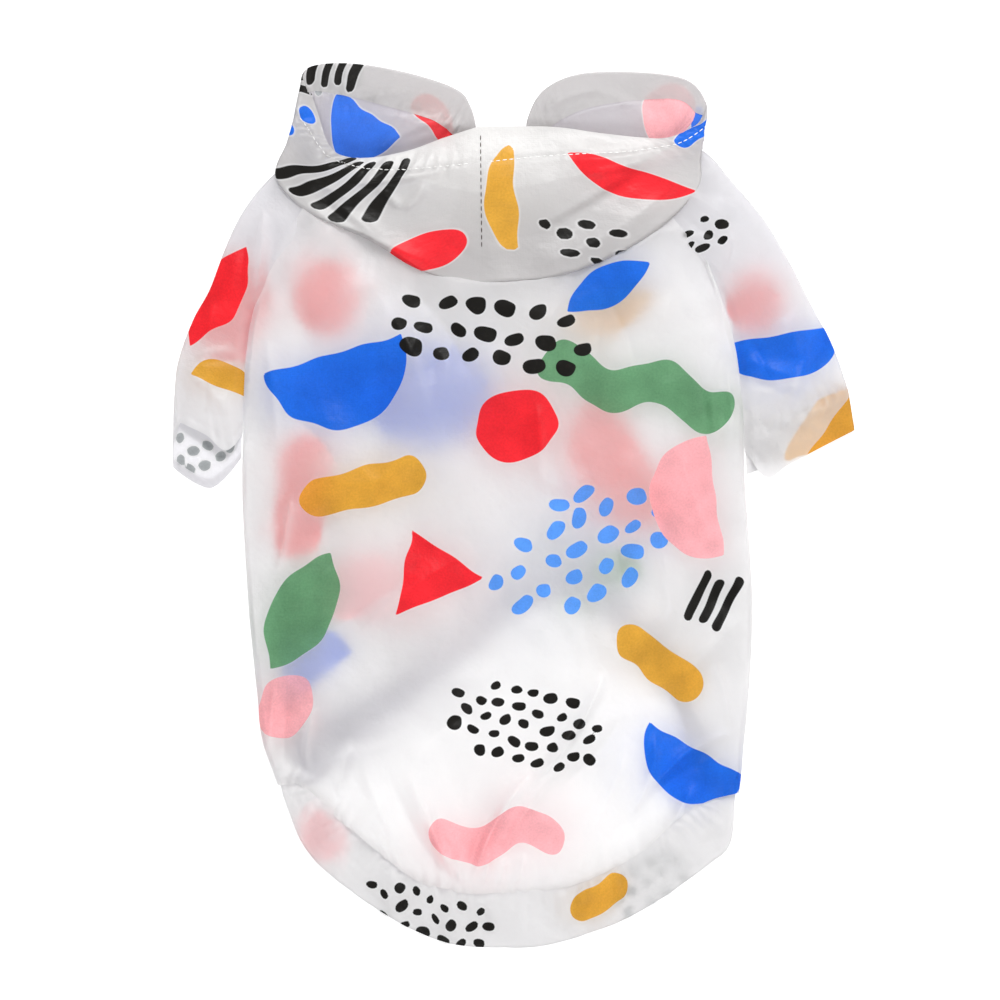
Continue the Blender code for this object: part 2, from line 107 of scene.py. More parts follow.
# Hem band: a point of its seam, then the point of its outer fold opposite: x, y, x, y.
HEM_BAND = (
    (-90.2, -115, -97.6, -115), (-82.5, -121.4, -93.5, -128.3), (-69.9, -134, -85.6, -145.2),
    (-55.2, -145.3, -70.5, -159.4), (-42.6, -155.5, -52, -172.2), (-30, -160.4, -34, -181.2),
    (-17.4, -162.5, -19, -184.9), (-2.7, -162.5, -2.7, -185.4), (12, -161.5, 13.5, -184.8),
    (27.7, -158.5, 31, -180), (41.5, -152.5, 48.5, -173.2), (58.1, -142.4, 67.5, -161.8),
    (67.9, -133, 83, -150.5), (76, -127.3, 91.8, -141.3), (85, -121.6, 94.2, -118.6),
)
# How far the upper layer of the body stands over its edge: y, middle x, half width, height.
DOME = (
    (-165, -2, 76, 2.8), (-115, -2.5, 92, 5), (-60, -5, 98, 5.8), (0, -8, 101, 5.8), (60, -9, 99, 5.4),
    (100, -11, 94, 4.9), (135, -13, 84, 4.4), (160, -14, 78, 3.8),
)
BELLY_CASING = 16  # depth of the belly's hem, which shows through the back as a darker arch, also painted darker in colour
HEM_RISE = 22  # the dome rises from the hem seam over about this length
# Sleeve, from the neck to the cuff: inner edge of the upper layer, outer fold, outer fold of the
# lower layer, inner edge of the lower layer, then how far the lower cuff bows outwards.
LEFT_SLEEVE = (
    (-80.3, 136.3, -84, 147, -84, 147, -70.3, 130.3, 0),
    (-86.5, 126.5, -97.2, 141.1, -97.2, 141.1, -79.6, 115.9, 0),
    (-92.6, 116.9, -109.4, 128.5, -109.4, 128.5, -86.6, 104.5, 0),
    (-100.3, 101.2, -118.7, 111.7, -118.7, 111.7, -97.4, 87.6, 0),
    (-107.9, 86, -126.4, 91.5, -126.4, 91.5, -108.5, 68.2, 0),
    (-111.2, 69, -133.5, 78.1, -133.5, 78.1, -111.9, 60, 0),
    (-112.2, 55, -139.7, 61.3, -139.7, 61.3, -112.4, 50, 0),
    (-113, 40, -141.2, 48, -142, 42, -113, 37, 2),
    (-113.4, 21.8, -140.2, 35.7, -143.6, 16.2, -113.4, 20.4, 11),
)
RIGHT_SLEEVE = (
    (54.3, 136.3, 62, 147, 62, 147, 45.3, 130.3, 0),
    (60.4, 129.6, 79.2, 149.5, 79.2, 149.5, 57.5, 112.6, 0),
    (66.5, 122.9, 91.8, 136.9, 91.8, 136.9, 68, 99, 0),
    (75.3, 112.2, 106, 120.1, 106, 120.1, 80.4, 82.9, 0),
    (83.5, 101.8, 116.1, 103.3, 116.1, 103.3, 91.5, 67.7, 0),
    (90.1, 82, 126.5, 83, 126.5, 83, 95.3, 61.2, 0), (95.7, 58, 134.5, 68, 134.5, 68, 96.3, 51, 0),
    (97.6, 36, 140.6, 50, 140.6, 50, 97.8, 34, 0),
    (98.6, 14.8, 144.3, 31.8, 143.6, 32.6, 98.6, 13.2, 0.6),
)
# Hem edge of the upper layer of each cuff: share of its width from the body out, shift of y.
LEFT_CUFF = ((0, 9), (0.1, 3.5), (0.23, -1.4), (0.57, 0.2), (1, 0))
RIGHT_CUFF = ((0, 10), (0.08, 1.5), (0.2, -6), (0.4, -4.3), (0.65, -2.3), (1, 0))
# Hood halves, from the throat round the side to the crown: point on the neck seam, point where
# the cloth rolls over, point on the rim, the roll's radius, and the height of the rim. Where
# the radius is 0 the cloth runs straight from the neck to the rim, on the surface below.
LEFT_HOOD = (
    (-9.75, 105.4, 0, 0, -5.25, 139, 0, 0), (-28, 108.9, 0, 0, -13, 152, 0, 2),
    (-45, 114.5, 0, 0, -17, 167, 0, 4.5), (-57.8, 122.4, 0, 0, -24, 174.9, 0, 8),
    (-70.3, 131, 0, 0, -46.8, 181.9, 0, 11), (-78, 140.5, 0, 0, -69.9, 185.2, 0, 10.5),
    (-84, 148, 0, 0, -85.6, 183.2, 0, 7), (-86, 149.6, -89.1, 174, -84.2, 174.5, 0.8, 4.2),
    (-86.4, 149.4, -91.5, 162, -80.6, 163, 1.4, 4.6), (-86.2, 148.6, -94.3, 152, -76.6, 151.6, 1.5, 7),
    (-80.5, 137, -98.8, 137.5, -70, 146.3, 1, 8), (-66, 129, -84, 122, -57, 146, 0.5, 8),
    (-50, 122.8, -60, 111.5, -43, 148.8, 0.45, 8.2), (-35, 118.9, -37.5, 98.2, -29, 153.8, 0.45, 8.4),
    (-13.5, 117.2, -13.5, 92.8, -14, 158.8, 0.45, 8.6),
)
RIGHT_HOOD = (
    (-9.75, 105.4, 0, 0, -5.25, 139, 0, 0), (6, 107.9, 0, 0, 4.5, 150, 0, 2),
    (20, 113.4, 0, 0, 6.9, 163, 0, 4.5), (33, 121.9, 0, 0, 13.4, 174, 0, 8),
    (45.3, 131, 0, 0, 28, 180.5, 0, 11), (54.6, 140.8, 0, 0, 52, 181.4, 0, 11),
    (61.8, 148.2, 0, 0, 72.6, 178.6, 0, 8.5), (63.6, 149.8, 0, 0, 81, 170.3, 0, 4.5),
    (64.4, 149.9, 82, 163.5, 79.4, 162.4, 0.8, 4.4), (64.6, 149.4, 80.7, 156.5, 74, 157.6, 1.7, 6.4),
    (54.8, 137, 79.4, 146, 65, 154, 1.4, 8), (42, 130.3, 77.5, 132, 54, 154.2, 0.6, 8),
    (28, 124.2, 57, 112.5, 38, 156, 0.45, 8.2), (10, 119.8, 24, 97.2, 16, 158.8, 0.45, 8.4),
    (-13.5, 117.2, -13.5, 92.8, -14, 158.8, 0.45, 8.6),
)
HOOD_LINE = (  # lower edge of the hood on the back: x, y
    (-99, 137), (-84, 122), (-60, 111.5), (-37.5, 98.2), (-13.5, 92.8), (24, 97.2),
    (57, 112.5), (77.5, 132), (81, 146),
)
HOOD_HEM = (  # section, distance of the stitches from the rim
    (0, 10), (7.6, 10), (8.6, 5.5), (10, 5), (11, 7), (12.3, 10.5), (14, 15.5),
)
ROUND_START = 6.5  # from this section on the hood's cloth climbs off the surface
ROUND_SIDE = 2.6  # sections that it takes to come on to the body's top
FAR_SIDE = 7.5  # sections before this one are the far side, which shows its inside
ROLLED = 10  # from this section on the hood lies rolled over the back
FIRST_STITCH = 98  # row of the hood's grid where the stitches of its rim come into view
SEAM_SHOWS = 40  # column of the grid from which the centre seam shows

# ---- Creases: start x, y, end x, y, sideways bend, half width, height (a trough is below 0) ----

BACK_CREASES = (
    (-44, -108, -18, -160, -3, 2.6, 1.1), (-52, -110, -25, -158, -3, 4, -0.8),
    (10, -110, -16.5, -160, -4.5, 2.2, 1.9), (-2, -122, -19, -158, -2.5, 2.4, -1.1),
    (-30, -135, -20, -161, 1, 1.8, 1.1), (40, -66, 5, -120, 4, 1.8, 1.9),
    (48, -84, 18, -120, 3, 4, -0.6), (-36, -118, -22, -160, -2, 1.6, 0.8),
    (28, -100, -6, -150, -3, 2, 0.7), (60, -92, 48, -132, 4, 2, 0.6),
    (-64, -104, -44, -146, -2, 2.2, 0.6), (84, -62, 93, -96, 1, 1.8, 0.6), (70, 22, 80, -12, 1, 2, 0.5),
    (-92, 8, -99, -30, 1, 1.8, 0.6), (-9, -141, -12.5, -161, 0.8, 1.5, 0.7),
    (-2, -146, -5, -162, -0.6, 1.4, 0.6), (5, -144, 2, -162, 0.6, 1.6, 0.6),
    (-24, -144, -24, -161, 0.8, 1.4, -0.6), (-82, -82, -86, -115, -1.5, 1.8, 0.8),
    (90, 60, 93, 24, 0.6, 1.6, 0.6), (84, 50, 87, 22, -0.8, 1.8, 0.5), (77, 64, 82, 30, 1, 2.4, -0.5),
    (58, -122, 98, -95, 7, 2.2, 0.8), (54, -130, 96, -104, 6, 4, -0.5), (66, -138, 78, -116, 1, 2, 0.8),
    (-99, -74, -101, -113, -1, 2, 0.9), (-94, -80, -95, -112, -1, 2.6, -0.6),
    (-68, -96, -76, -124, 2, 3, 0.8), (-30, -28, -84, -62, -5, 7, -0.8),
    (-8, -18, -70, -60, -6, 6, 0.7), (60, -12, 66, -58, 2, 3, 0.6), (44, -8, 54, -44, -3, 4, -0.5),
    (-60, 92, -34, 30, 6, 7, 0.7), (-46, 94, -16, 50, 4, 5, -0.6), (24, 92, 6, 44, -3, 6, 0.6),
    (10, 46, 12, 6, 1, 2.6, 0.5), (40, 88, 52, 56, 2, 4, -0.5), (-104, 74, -99, 20, 2, 3, 0.5),
    (-96, 40, -70, 12, 3, 5, -0.4), (72, -66, 92, -40, -3, 4, 0.6), (-74, -22, -96, -44, 2, 4, 0.5),
    (-10, -84, -40, -104, -3, 5, -0.6), (48, -96, 30, -140, 3, 4, 0.6),
)
BELLY_CREASES = (
    (-70, 80, -20, 20, 6, 5, 0.9), (50, 84, 20, 10, -5, 5, 0.8), (-84, 20, -60, -60, 4, 4, 0.7),
    (70, 30, 60, -40, -4, 4, 0.8), (-20, 60, 10, -20, 3, 6, 0.6),
)
BAND_CREASES = (
    (-84, -124, -90, -137, 0.5, 2, 0.8), (-74, -132, -73, -156, 1.5, 3, 1.1),
    (-62, -142, -70, -157, -1, 2, -0.9), (-50, -150, -52, -171, 1, 2.6, 1),
    (-40, -157, -46, -174, -1, 2, -0.8), (-24, -163, -30, -181, 1, 2.2, 1),
    (-10, -165, -14, -184, 0.5, 2, -0.7), (4, -165, 6, -182, -0.5, 2, 0.5),
    (22, -161, 24, -179, -0.5, 2.2, 0.8), (44, -152, 52, -167, 0.5, 2.2, -0.8),
    (64, -138, 76, -153, 0.5, 2.6, 0.9), (78, -128, 91, -137, 0.5, 2, 0.8),
)
LEFT_SLEEVE_CREASES = (
    (-133, 62, -114, 64.5, 1.5, 1.4, 0.7), (-131, 60, -113, 60.5, 1, 1.6, -0.6),
    (-104, 126, -108, 84, 0.8, 1.4, 0.9), (-99, 122, -103, 90, 0.8, 2.6, -0.6),
    (-110, 118, -114, 84, -1, 3, -0.6), (-136, 56, -118, 36, 2, 2.4, 0.7),
    (-128, 54, -130, 34, 1, 2, -0.5), (-120, 50, -121, 28, 1, 2.2, 0.6),
    (-126, 88, -128, 70, 1, 2.4, 0.5),
)
RIGHT_SLEEVE_CREASES = (
    (72, 131, 90, 118, 2, 2.4, 0.9), (70, 124, 96, 108, -2, 2.8, -0.7), (84, 128, 100, 122, 1, 2, 0.6),
    (92, 116, 90, 98, 1, 1.8, 0.7), (96, 64, 126, 54, -2.5, 3, 0.9), (97, 55, 122, 46, -1.5, 2.6, -0.8),
    (100, 44, 128, 50, 2, 2.2, 0.8), (102, 31, 116, 18, 1.5, 1.8, 0.5),
    (100, 26, 108, 16, -1, 1.4, -0.4), (104, 36, 134, 30, 2, 1.6, 0.5), (124, 66, 112, 38, 2, 1.6, 0.6),
    (100, 70, 108, 52, 1, 1.6, -0.5), (112, 80, 120, 60, 2, 3.6, 0.6), (104, 94, 114, 84, 1, 3, -0.5),
    (120, 34, 138, 44, 1, 2, 0.6),
)


def ease(value):
    value = np.clip(value, 0, 1)
    return value * value * (3 - 2 * value)


def between(start, end, share):
    return start + (end - start) * share


def length_of(vectors):
    return np.linalg.norm(vectors, axis=-1, keepdims=True)


def unit(vectors):
    return vectors / np.maximum(length_of(vectors), 1e-9)


def distance(points):
    """How far along its line each point lies, for one line or for rows of them."""
    steps = np.linalg.norm(np.diff(points, axis=-2), axis=-1)
    return np.concatenate([np.zeros((*steps.shape[:-1], 1)), np.cumsum(steps, axis=-1)], axis=-1)


def parts(array):
    """The x, y (and z) of an array of points, each on its own."""
    return np.moveaxis(array, -1, 0)


def strip(start, across, reach, share):
    """Points from a line of starts back along `across`, at shares of a reach."""
    return start[:, None] - across[:, None] * (reach * share)[..., None]


def turned_under(corner, inward, radius, angle):
    """Half circle in which cloth turns under from the upper to the lower layer at an edge."""
    flat = corner + inward * radius * (1 - np.sin(angle))
    height = REST + radius * (1 + np.cos(angle))
    return np.dstack([flat, np.broadcast_to(height, flat[..., :1].shape)])


def curve(rows, at):
    """Values at `at` on smooth curves through rows of (place, value, ...)."""
    rows = np.asarray(rows, float)
    place, value = rows[:, 0], rows[:, 1:]
    step = np.diff(place)
    slope = np.diff(value, axis=0) / step[:, None]
    inner = (slope[:-1] * step[1:, None] + slope[1:] * step[:-1, None]) / (step[1:] + step[:-1])[:, None]
    tangent = np.vstack([slope[:1], inner, slope[-1:]])
    at = np.clip(at, place[0], place[-1])
    i = np.clip(np.searchsorted(place, at) - 1, 0, len(step) - 1)
    h = step[i][..., None]
    u = (at - place[i])[..., None] / h
    return (
        value[i] * (2 * u**3 - 3 * u**2 + 1) + h * tangent[i] * (u**3 - 2 * u**2 + u)
        + value[i + 1] * (3 * u**2 - 2 * u**3) + h * tangent[i + 1] * (u**3 - u**2)
    )


def height_of(rows, at):
    """The same for rows with one value."""
    return curve(rows, at)[..., 0]


def along(rows, share):
    """Values at a share from 0 to 1 of the way along rows that aren't numbered."""
    numbered = [(i / (len(rows) - 1), *row) for i, row in enumerate(rows)]
    return curve(numbered, np.asarray(share, float))


def waves(x, y, length, seed, count=9):
    """A soft uneven field of about unit height with swells about `length` apart."""
    rng = np.random.default_rng(seed)
    turn = rng.uniform(0, 2 * math.pi, count)
    size = length * rng.uniform(0.75, 1.5, count)
    phase = rng.uniform(0, 2 * math.pi, count)
    total = np.zeros(np.broadcast(x, y).shape)
    for a, l, p in zip(turn, size, phase):
        total += np.sin(2 * math.pi * (x * math.cos(a) + y * math.sin(a)) / l + p)
    return total / math.sqrt(count)


def crumple(x, y, length, seed):
    """Thin crooked ridges round flat facets about `length` across, as crisp cloth creases."""
    first, second = waves(x, y, 2 * length, seed), waves(x, y, 1.3 * length, seed + 1)
    ridge = 1 - np.hypot(first, 0.12), 1 - np.hypot(second, 0.12)
    return ridge[0] + 0.5 * ridge[1]


CRISP = 0.12  # a pressed fold turns within this distance
CREST = 0.6  # radius of the crest of a crease, which is sharper than its foot


def creases(x, y, table):
    """Height that the creases of a table give at each point: soft ridges and troughs with thin ends."""
    total = np.zeros(x.shape)
    for x0, y0, x1, y1, bend, width, height in table:
        run = np.hypot(x1 - x0, y1 - y0)
        side = np.array([y0 - y1, x1 - x0]) / run
        share = np.linspace(0, 1, 13)
        bow = 4 * share * (1 - share) * bend
        px, py = x0 + (x1 - x0) * share + side[0] * bow, y0 + (y1 - y0) * share + side[1] * bow
        near = (
            (x > px.min() - 6 * width) & (x < px.max() + 6 * width)
            & (y > py.min() - 6 * width) & (y < py.max() + 6 * width)
        )
        qx, qy = x[near], y[near]
        best, place = np.full(qx.shape, 1e9), np.zeros(qx.shape)
        for k in range(len(share) - 1):
            dx, dy = px[k + 1] - px[k], py[k + 1] - py[k]
            t = np.clip(((qx - px[k]) * dx + (qy - py[k]) * dy) / (dx * dx + dy * dy), 0, 1)
            away = np.hypot(qx - px[k] - t * dx, qy - py[k] - t * dy)
            closer = away < best
            best[closer], place[closer] = away[closer], (share[k] + t[closer] / 12)[...]
        taper = ease(place / 0.3) * ease((1 - place) / 0.35)
        total[near] += height * taper * np.exp((CREST - np.hypot(best, CREST)) / width)
    return total


def dome(x, y):
    """Height of the upper layer of body and sleeves over its edge."""
    rows = curve(DOME, y)
    across = (x - rows[..., 0]) / rows[..., 1]
    rise = 1 - np.exp(-np.maximum(y - height_of(HEM_SEAM, x), 0) / HEM_RISE)
    return rows[..., 2] * np.maximum(1 - across * across, 0) ** 1.3 * rise


def seam_out(y):
    """How far round the turn at the edge the side seam lies, from the upper side."""
    drift = ease((ARMPIT_Y - y) / SEAM_RISE)
    return HALF_TURN / 2 + drift * (HALF_TURN / 2 + SIDE_SEAM_IN - FOLD)


def wrapped(flat, left, right):
    """Plan x and height of cloth that runs flat between two edges and turns under at both."""
    out = np.maximum(left + FOLD - flat, flat - right + FOLD)
    side = np.where(flat < (left + right) / 2, -1, 1)
    edge = np.where(side < 0, left, right)
    angle = np.clip(out / FOLD, 0, math.pi)
    past = np.maximum(out - HALF_TURN, 0)
    x = np.where(out <= 0, flat, edge - side * (FOLD * (1 - np.sin(angle)) + past))
    return x, FOLD * (1 + np.cos(angle)), out <= 0


class Cloth:
    """A cut piece as a grid of points, with the place of each on the flat cut, in millimetres."""

    def __init__(self, points, cut, face=1):
        self.points = np.array(points, float)
        self.cut = np.array(cut, float)
        self.face = face  # 1 where (along a row) x (from row to row) points out, and -1 elsewhere

    def normals(self):
        return self.face * unit(
            np.cross(np.gradient(self.points, axis=1), np.gradient(self.points, axis=0)))

    def push(self, amount):
        """Moves the cloth out by an amount at each point, and never into the surface below."""
        self.points = self.points + self.normals() * amount[..., None]
        self.points[..., 2] = np.maximum(self.points[..., 2], REST / 2)

    def turn_in(self, side, width, gap):
        """Folds a hem of this width back inside along one side of the grid."""
        swap, flip = side.endswith("row"), side.startswith("first")
        arrays = [self.points, self.cut, self.normals()]
        arrays = [np.swapaxes(a, 0, 1) if swap else a for a in arrays]
        points, cut, normal = [a[:, ::-1] if flip else a for a in arrays]
        apart = np.linalg.norm(np.diff(points[:, -6:], axis=1), axis=2).mean()
        count = max(2, round(np.max(width) / apart))
        back = 2 + np.arange(count) * np.broadcast_to(width / np.max(width), len(points))[:, None]
        low = back.astype(int)
        part = (back - low)[..., None]
        rows = np.arange(len(points))[:, None]
        at_back, cut_back, normal_back = (
            between(a[rows, -low], a[rows, -low - 1], part) for a in (points, cut, normal))
        inside = gap * (1 - 0.35 * np.linspace(0, 1, count) ** 2)
        folded = at_back - normal_back * inside[None, :, None]
        step = CRISP / apart
        before = between(points[:, -1:], points[:, -2:-1], step)
        after = between(points[:, -1:], folded[:, :1], step)
        cut_before = between(cut[:, -1:], cut[:, -2:-1], step)
        points = np.concatenate([points[:, :-1], before, points[:, -1:], after, folded], axis=1)
        cut = np.concatenate([
            cut[:, :-1], cut_before, cut[:, -1:], 2 * cut[:, -1:] - cut_before,
            2 * cut[:, -1:] - cut_back,
        ], axis=1)
        arrays = [a[:, ::-1] if flip else a for a in (points, cut)]
        self.points, self.cut = [np.swapaxes(a, 0, 1) if swap else a for a in arrays]

    def cut_area(self):
        """Area of the flat cut in square metres, hems with it."""
        p, q = parts(self.cut)
        a, b = p[1:, 1:] - p[:-1, :-1], q[1:, 1:] - q[:-1, :-1]
        c, d = p[1:, :-1] - p[:-1, 1:], q[1:, :-1] - q[:-1, 1:]
        return float(np.abs(a * d - b * c).sum() / 2) * MM * MM


# ---- Where each piece lies ----


def back_cloth():
    """The dog's back: domed above, turned under along both sides as far as the side seams."""
    low, high = -117, 136
    level = np.linspace(low, high, 312)[:, None]
    share = np.linspace(0, 1, 300)[None, :]
    ends = []
    for edge_table, raglan, side in ((LEFT_EDGE, LEFT_RAGLAN, -1), (RIGHT_EDGE, RIGHT_RAGLAN, 1)):
        edge = height_of(edge_table, level)
        depth = np.abs(height_of(raglan, level) - edge)
        on_fold = FOLD * np.arcsin(np.clip(1 - depth / FOLD, 0, 1))
        out = np.where(depth > FOLD, FOLD - depth, on_fold)
        out = np.where(level < raglan[0][0], HALF_TURN / 2, out)
        out = np.where(level < ARMPIT_Y, seam_out(level), out)
        ends.append((edge, edge + side * (out - FOLD)))
    (left, first), (right, last) = ends
    flat = between(first, last, share)
    x, z, on_top = wrapped(flat, left, right)
    t = (level - low) / (high - low)
    wobble = 0.5 * ease((20 - x) / 60) * waves(x, 0 * x, 11, 5)
    hem, neck = height_of(HEM_SEAM, x) + wobble, height_of(BACK_NECK, x)
    beside = level + (hem - low) * (1 - t) ** 6 + (neck - high) * ease((t - 0.9) / 0.1)
    inward = np.minimum(flat - np.maximum(first, left + FOLD), np.minimum(last, right - FOLD) - flat)
    y = between(beside, between(hem, neck, t), ease(inward / 28))
    z = REST + z + np.where(on_top, dome(x, y), 0)
    cloth = Cloth(np.stack([x, y, z], axis=-1), np.stack([flat, y], axis=-1))
    return cloth, on_top, y


def belly_cloth():
    """Chest and belly, flat on the surface, with an arched hem and a scooped throat."""
    low, high = -115.5, 130
    level = np.linspace(low, high, 150)[:, None]
    share = np.linspace(0, 1, 140)[None, :]
    ends = []
    for edge_table, raglan, side in (
        (LEFT_EDGE, LEFT_BELLY_RAGLAN, -1), (RIGHT_EDGE, RIGHT_BELLY_RAGLAN, 1)
    ):
        edge = height_of(edge_table, level)
        seam = edge - side * (FOLD + seam_out(level) - HALF_TURN)
        ends.append((edge, np.where(level < ARMPIT_Y, seam, height_of(raglan, level))))
    (left, first), (right, last) = ends
    first = np.maximum(first, left + FOLD - HALF_TURN / 2)
    last = np.minimum(last, right - FOLD + HALF_TURN / 2)
    flat = between(first, last, share)
    x, z, _ = wrapped(flat, left, right)
    t = (level - low) / (high - low)
    hem, throat = height_of(BELLY_HEM, x), height_of(THROAT_NECK, x)
    inward = np.minimum(flat - first, last - flat)
    beside = level + (throat - high) * ease((t - 0.92) / 0.08)
    y = between(beside, between(hem, throat, t), ease(inward / 16))
    z = REST + 2 * FOLD - z
    return Cloth(np.stack([x, y, z], axis=-1), np.stack([flat, y], axis=-1), face=-1)


def even(profile, count):
    """The points of each row again, evenly spaced along it, and their distance along it."""
    far = distance(profile)
    points = np.zeros((len(profile), count, 3))
    at = far[:, -1:] * np.linspace(0, 1, count)[None, :]
    for row, (places, wanted) in enumerate(zip(far, at)):
        for axis in range(3):
            points[row, :, axis] = np.interp(wanted, places, profile[row, :, axis])
    return points, at


def sleeve_cloth(table, cuff, edge, raglan):
    """A short raglan sleeve: a tube lying flat, turned at its outer side, open at the cuff."""
    rows, columns = 118, 116
    t = np.linspace(0, 1, rows)
    values = along(table, t)
    inner, outer, low_outer, low_inner = (values[:, i:i + 2] for i in (0, 2, 4, 6))
    bow = values[:, 8:9]
    past = ease((raglan[0][0] + 2 - inner[:, 1]) / 8)[:, None]
    inner[:, :1] = between(inner[:, :1], height_of(edge, inner[:, 1])[:, None], past)
    across = unit(inner - outer)
    inner = inner + across * ALLOWANCE * (1 - past)
    width = length_of(inner - outer)
    share = np.linspace(0, 1, 40)[None, :]
    upper = strip(inner, across, width - FOLD, share)
    upper[..., 1] += height_of(cuff, share) * ease((t[:, None] - 0.86) / 0.14)
    x, y = parts(upper)
    puff = 2.2 * np.sin(math.pi * share) ** 1.2 * ease((132 - y) / 25)
    tucked = 0.9 * (1 - ease(share * width / (ALLOWANCE + 1))) * (1 - past)
    sunk = 2.2 * (1 - ease(share * width / 5)) * past
    domed = dome(x, y) * (1 - past * (1 - share) ** 4)
    upper = np.dstack([upper, TOP + domed + puff - tucked - sunk])
    low_width = length_of(low_inner - low_outer)
    low_across = unit(low_inner - low_outer)
    angle = np.linspace(0, math.pi, 9)[None, 1:-1, None]
    corner = between(outer[:, None], low_outer[:, None], angle / math.pi)
    direction = between(across[:, None], low_across[:, None], angle / math.pi)
    turn = turned_under(corner, direction, FOLD, angle)
    back = share[:, ::-1]
    lower = strip(low_inner, low_across, low_width - FOLD, back)
    sideways = np.stack([-low_across[:, 1], low_across[:, 0]], axis=1)
    sideways *= -np.sign(low_across[:, :1])
    lower = lower + sideways[:, None] * (bow * (1 - np.abs(2 * back - 1) ** 1.5))[..., None]
    lower = np.dstack([lower, np.full(lower.shape[:2], REST)])
    profile = np.concatenate([upper, turn, lower], axis=1)
    points, far = even(profile, columns)
    around = distance(upper)[:, -1:] + HALF_TURN / 2 - far
    turned = np.clip(0.5 - around / HALF_TURN, 0, 1)
    corner = between(outer[:, None], low_outer[:, None], turned[..., None])
    fold_run = [np.gradient(line, axis=0) for line in (outer, low_outer)]
    fold_down = [np.cumsum(length_of(run)) for run in fold_run]
    heading = unit(between(fold_run[0][:, None], fold_run[1][:, None], turned[..., None]))
    off_fold = points[..., :2] - corner
    aside = np.abs(off_fold[..., 0] * heading[..., 1] - off_fold[..., 1] * heading[..., 0])
    flat_part = np.sign(around) * (HALF_TURN / 2 + np.maximum(aside - FOLD, 0))
    around = np.where(np.abs(around) > HALF_TURN / 2, flat_part, around)
    down = between(fold_down[0][:, None], fold_down[1][:, None], turned)
    down = down + (off_fold * heading).sum(axis=2)
    cut = np.stack([around, down], axis=-1)
    face = -1 if table is RIGHT_SLEEVE else 1
    return Cloth(points, cut, face), around > 0


def band_cloth():
    """Band along the back's hem: a strip folded lengthwise round the garment's lower edge."""
    rows, columns = 226, 44
    values = along(HEM_BAND, np.linspace(0, 1, rows))
    seam, outer = values[:, :2], values[:, 2:]
    seam = np.stack([seam[:, 0], height_of(HEM_SEAM, seam[:, 0])], axis=1)
    width, across = length_of(seam - outer), unit(seam - outer)
    radius = 0.6
    inner = seam + across * ALLOWANCE
    share = np.linspace(0, 1, 26)[None, :]
    upper = strip(inner, across, width + ALLOWANCE - radius, share)
    left_part = ease((20 - seam[:, :1]) / 70)
    below = (0.4 + 0.5 * left_part) * (1 - ease((share - 0.12) / 0.3))
    sag = between(TOP, REST + 2 * radius, ease(share / 0.6))
    sag = sag + 0.4 * np.sin(math.pi * share) ** 2 - below
    ends = ease(np.minimum(np.arange(rows), rows - 1 - np.arange(rows)) / 9)[:, None]
    sag = between(REST + 2 * radius * 0.7, sag, ends)
    upper = np.dstack([upper, sag])
    angle = np.linspace(0, math.pi, 7)[None, 1:-1, None]
    turn = turned_under(outer[:, None], across[:, None], radius, angle)
    lower = strip(inner, across, width + ALLOWANCE - radius, share[:, ::-1])
    lower = np.dstack([lower, np.full(lower.shape[:2], REST)])
    points, far = even(np.concatenate([upper, turn, lower], axis=1), columns)
    around = width + ALLOWANCE + HALF_TURN / 4 - far
    fold = np.broadcast_to(distance(outer)[:, None], around.shape)
    cut = np.stack([fold, around], axis=-1)
    return Cloth(points, cut), around > 0


def hood_cloth(table):
    """Half a hood pushed back: up from the neck, rolled over the back, and forward to its rim."""
    sections, columns = 176, 96
    last = len(table) - 1
    first_rolled = min(i for i, row in enumerate(table) if row[6] > 0)
    filled = [row if row[6] > 0 else (*row[:2], *row[4:6], *row[4:]) for row in table]
    section = np.linspace(0, last, sections)
    values = along(filled, section / last)
    neck, roll, rim = values[:, None, :2], values[:, None, 2:4], values[:, None, 4:6]
    radius = np.where(section <= first_rolled - 1, 0, values[:, 6])[:, None, None]
    climb = ease((section - ROUND_START) / ROUND_SIDE)[:, None]
    rim_rise = np.maximum(values[:, 7], 0)[:, None]

    def base(line):
        return REST + (TOP - REST + dome(*parts(line)) + 0.25) * climb

    inward, forward, reach = unit(neck - roll), unit(rim - roll), length_of(rim - roll)
    start = roll + inward * radius
    way = np.linspace(0, 1, 30)[None, :, None]
    under = between(neck, start, way)
    stand = rim_rise * (1 - climb) * way[..., 0] ** 2
    under = np.dstack([under, base(under) + stand])
    foot = (base(start) + stand[:, -1:])[..., None]
    angle = np.linspace(0, math.pi, 13)[None, 1:-1, None]
    turn = roll + between(inward, forward, angle / math.pi) * radius * (1 - np.sin(angle))
    turn = np.dstack([turn, foot + radius * (1 - np.cos(angle))])
    share = np.linspace(0, 1, 46)[None, :, None]
    over = between(roll + forward * np.minimum(radius, 0.5 * reach), rim, share)
    high = foot + 2 * radius
    rim_z = rim_rise[..., None] + REST * (1 - climb)[..., None]
    bulge = 3.2 * np.sin(math.pi * share ** 1.8) ** 2 * ease(reach / 50)
    over = np.dstack([over, between(high, rim_z, ease(share)) + bulge])
    points, far = even(np.concatenate([under, turn, over], axis=1), columns)
    round_rim = distance(points[:, -1])
    from_crown = np.broadcast_to((round_rim[-1] - round_rim)[:, None], far.shape)
    cut = np.stack([from_crown, far[:, -1:] - far], axis=-1)
    face = -1 if table is LEFT_HOOD else 1
    on_top = (far > far[:, -1:] - reach[..., 0]) & (section > first_rolled)[:, None]
    return Cloth(points, cut, face), on_top, section


# ---- Print ----

INKS = {
    "red": "#F02833", "cobalt": "#1D6DE0", "sky": "#5A9CF6", "green": "#6A9D74",
    "mustard": "#DDA53C", "pink": "#F6B3B8", "black": "#151310",
}
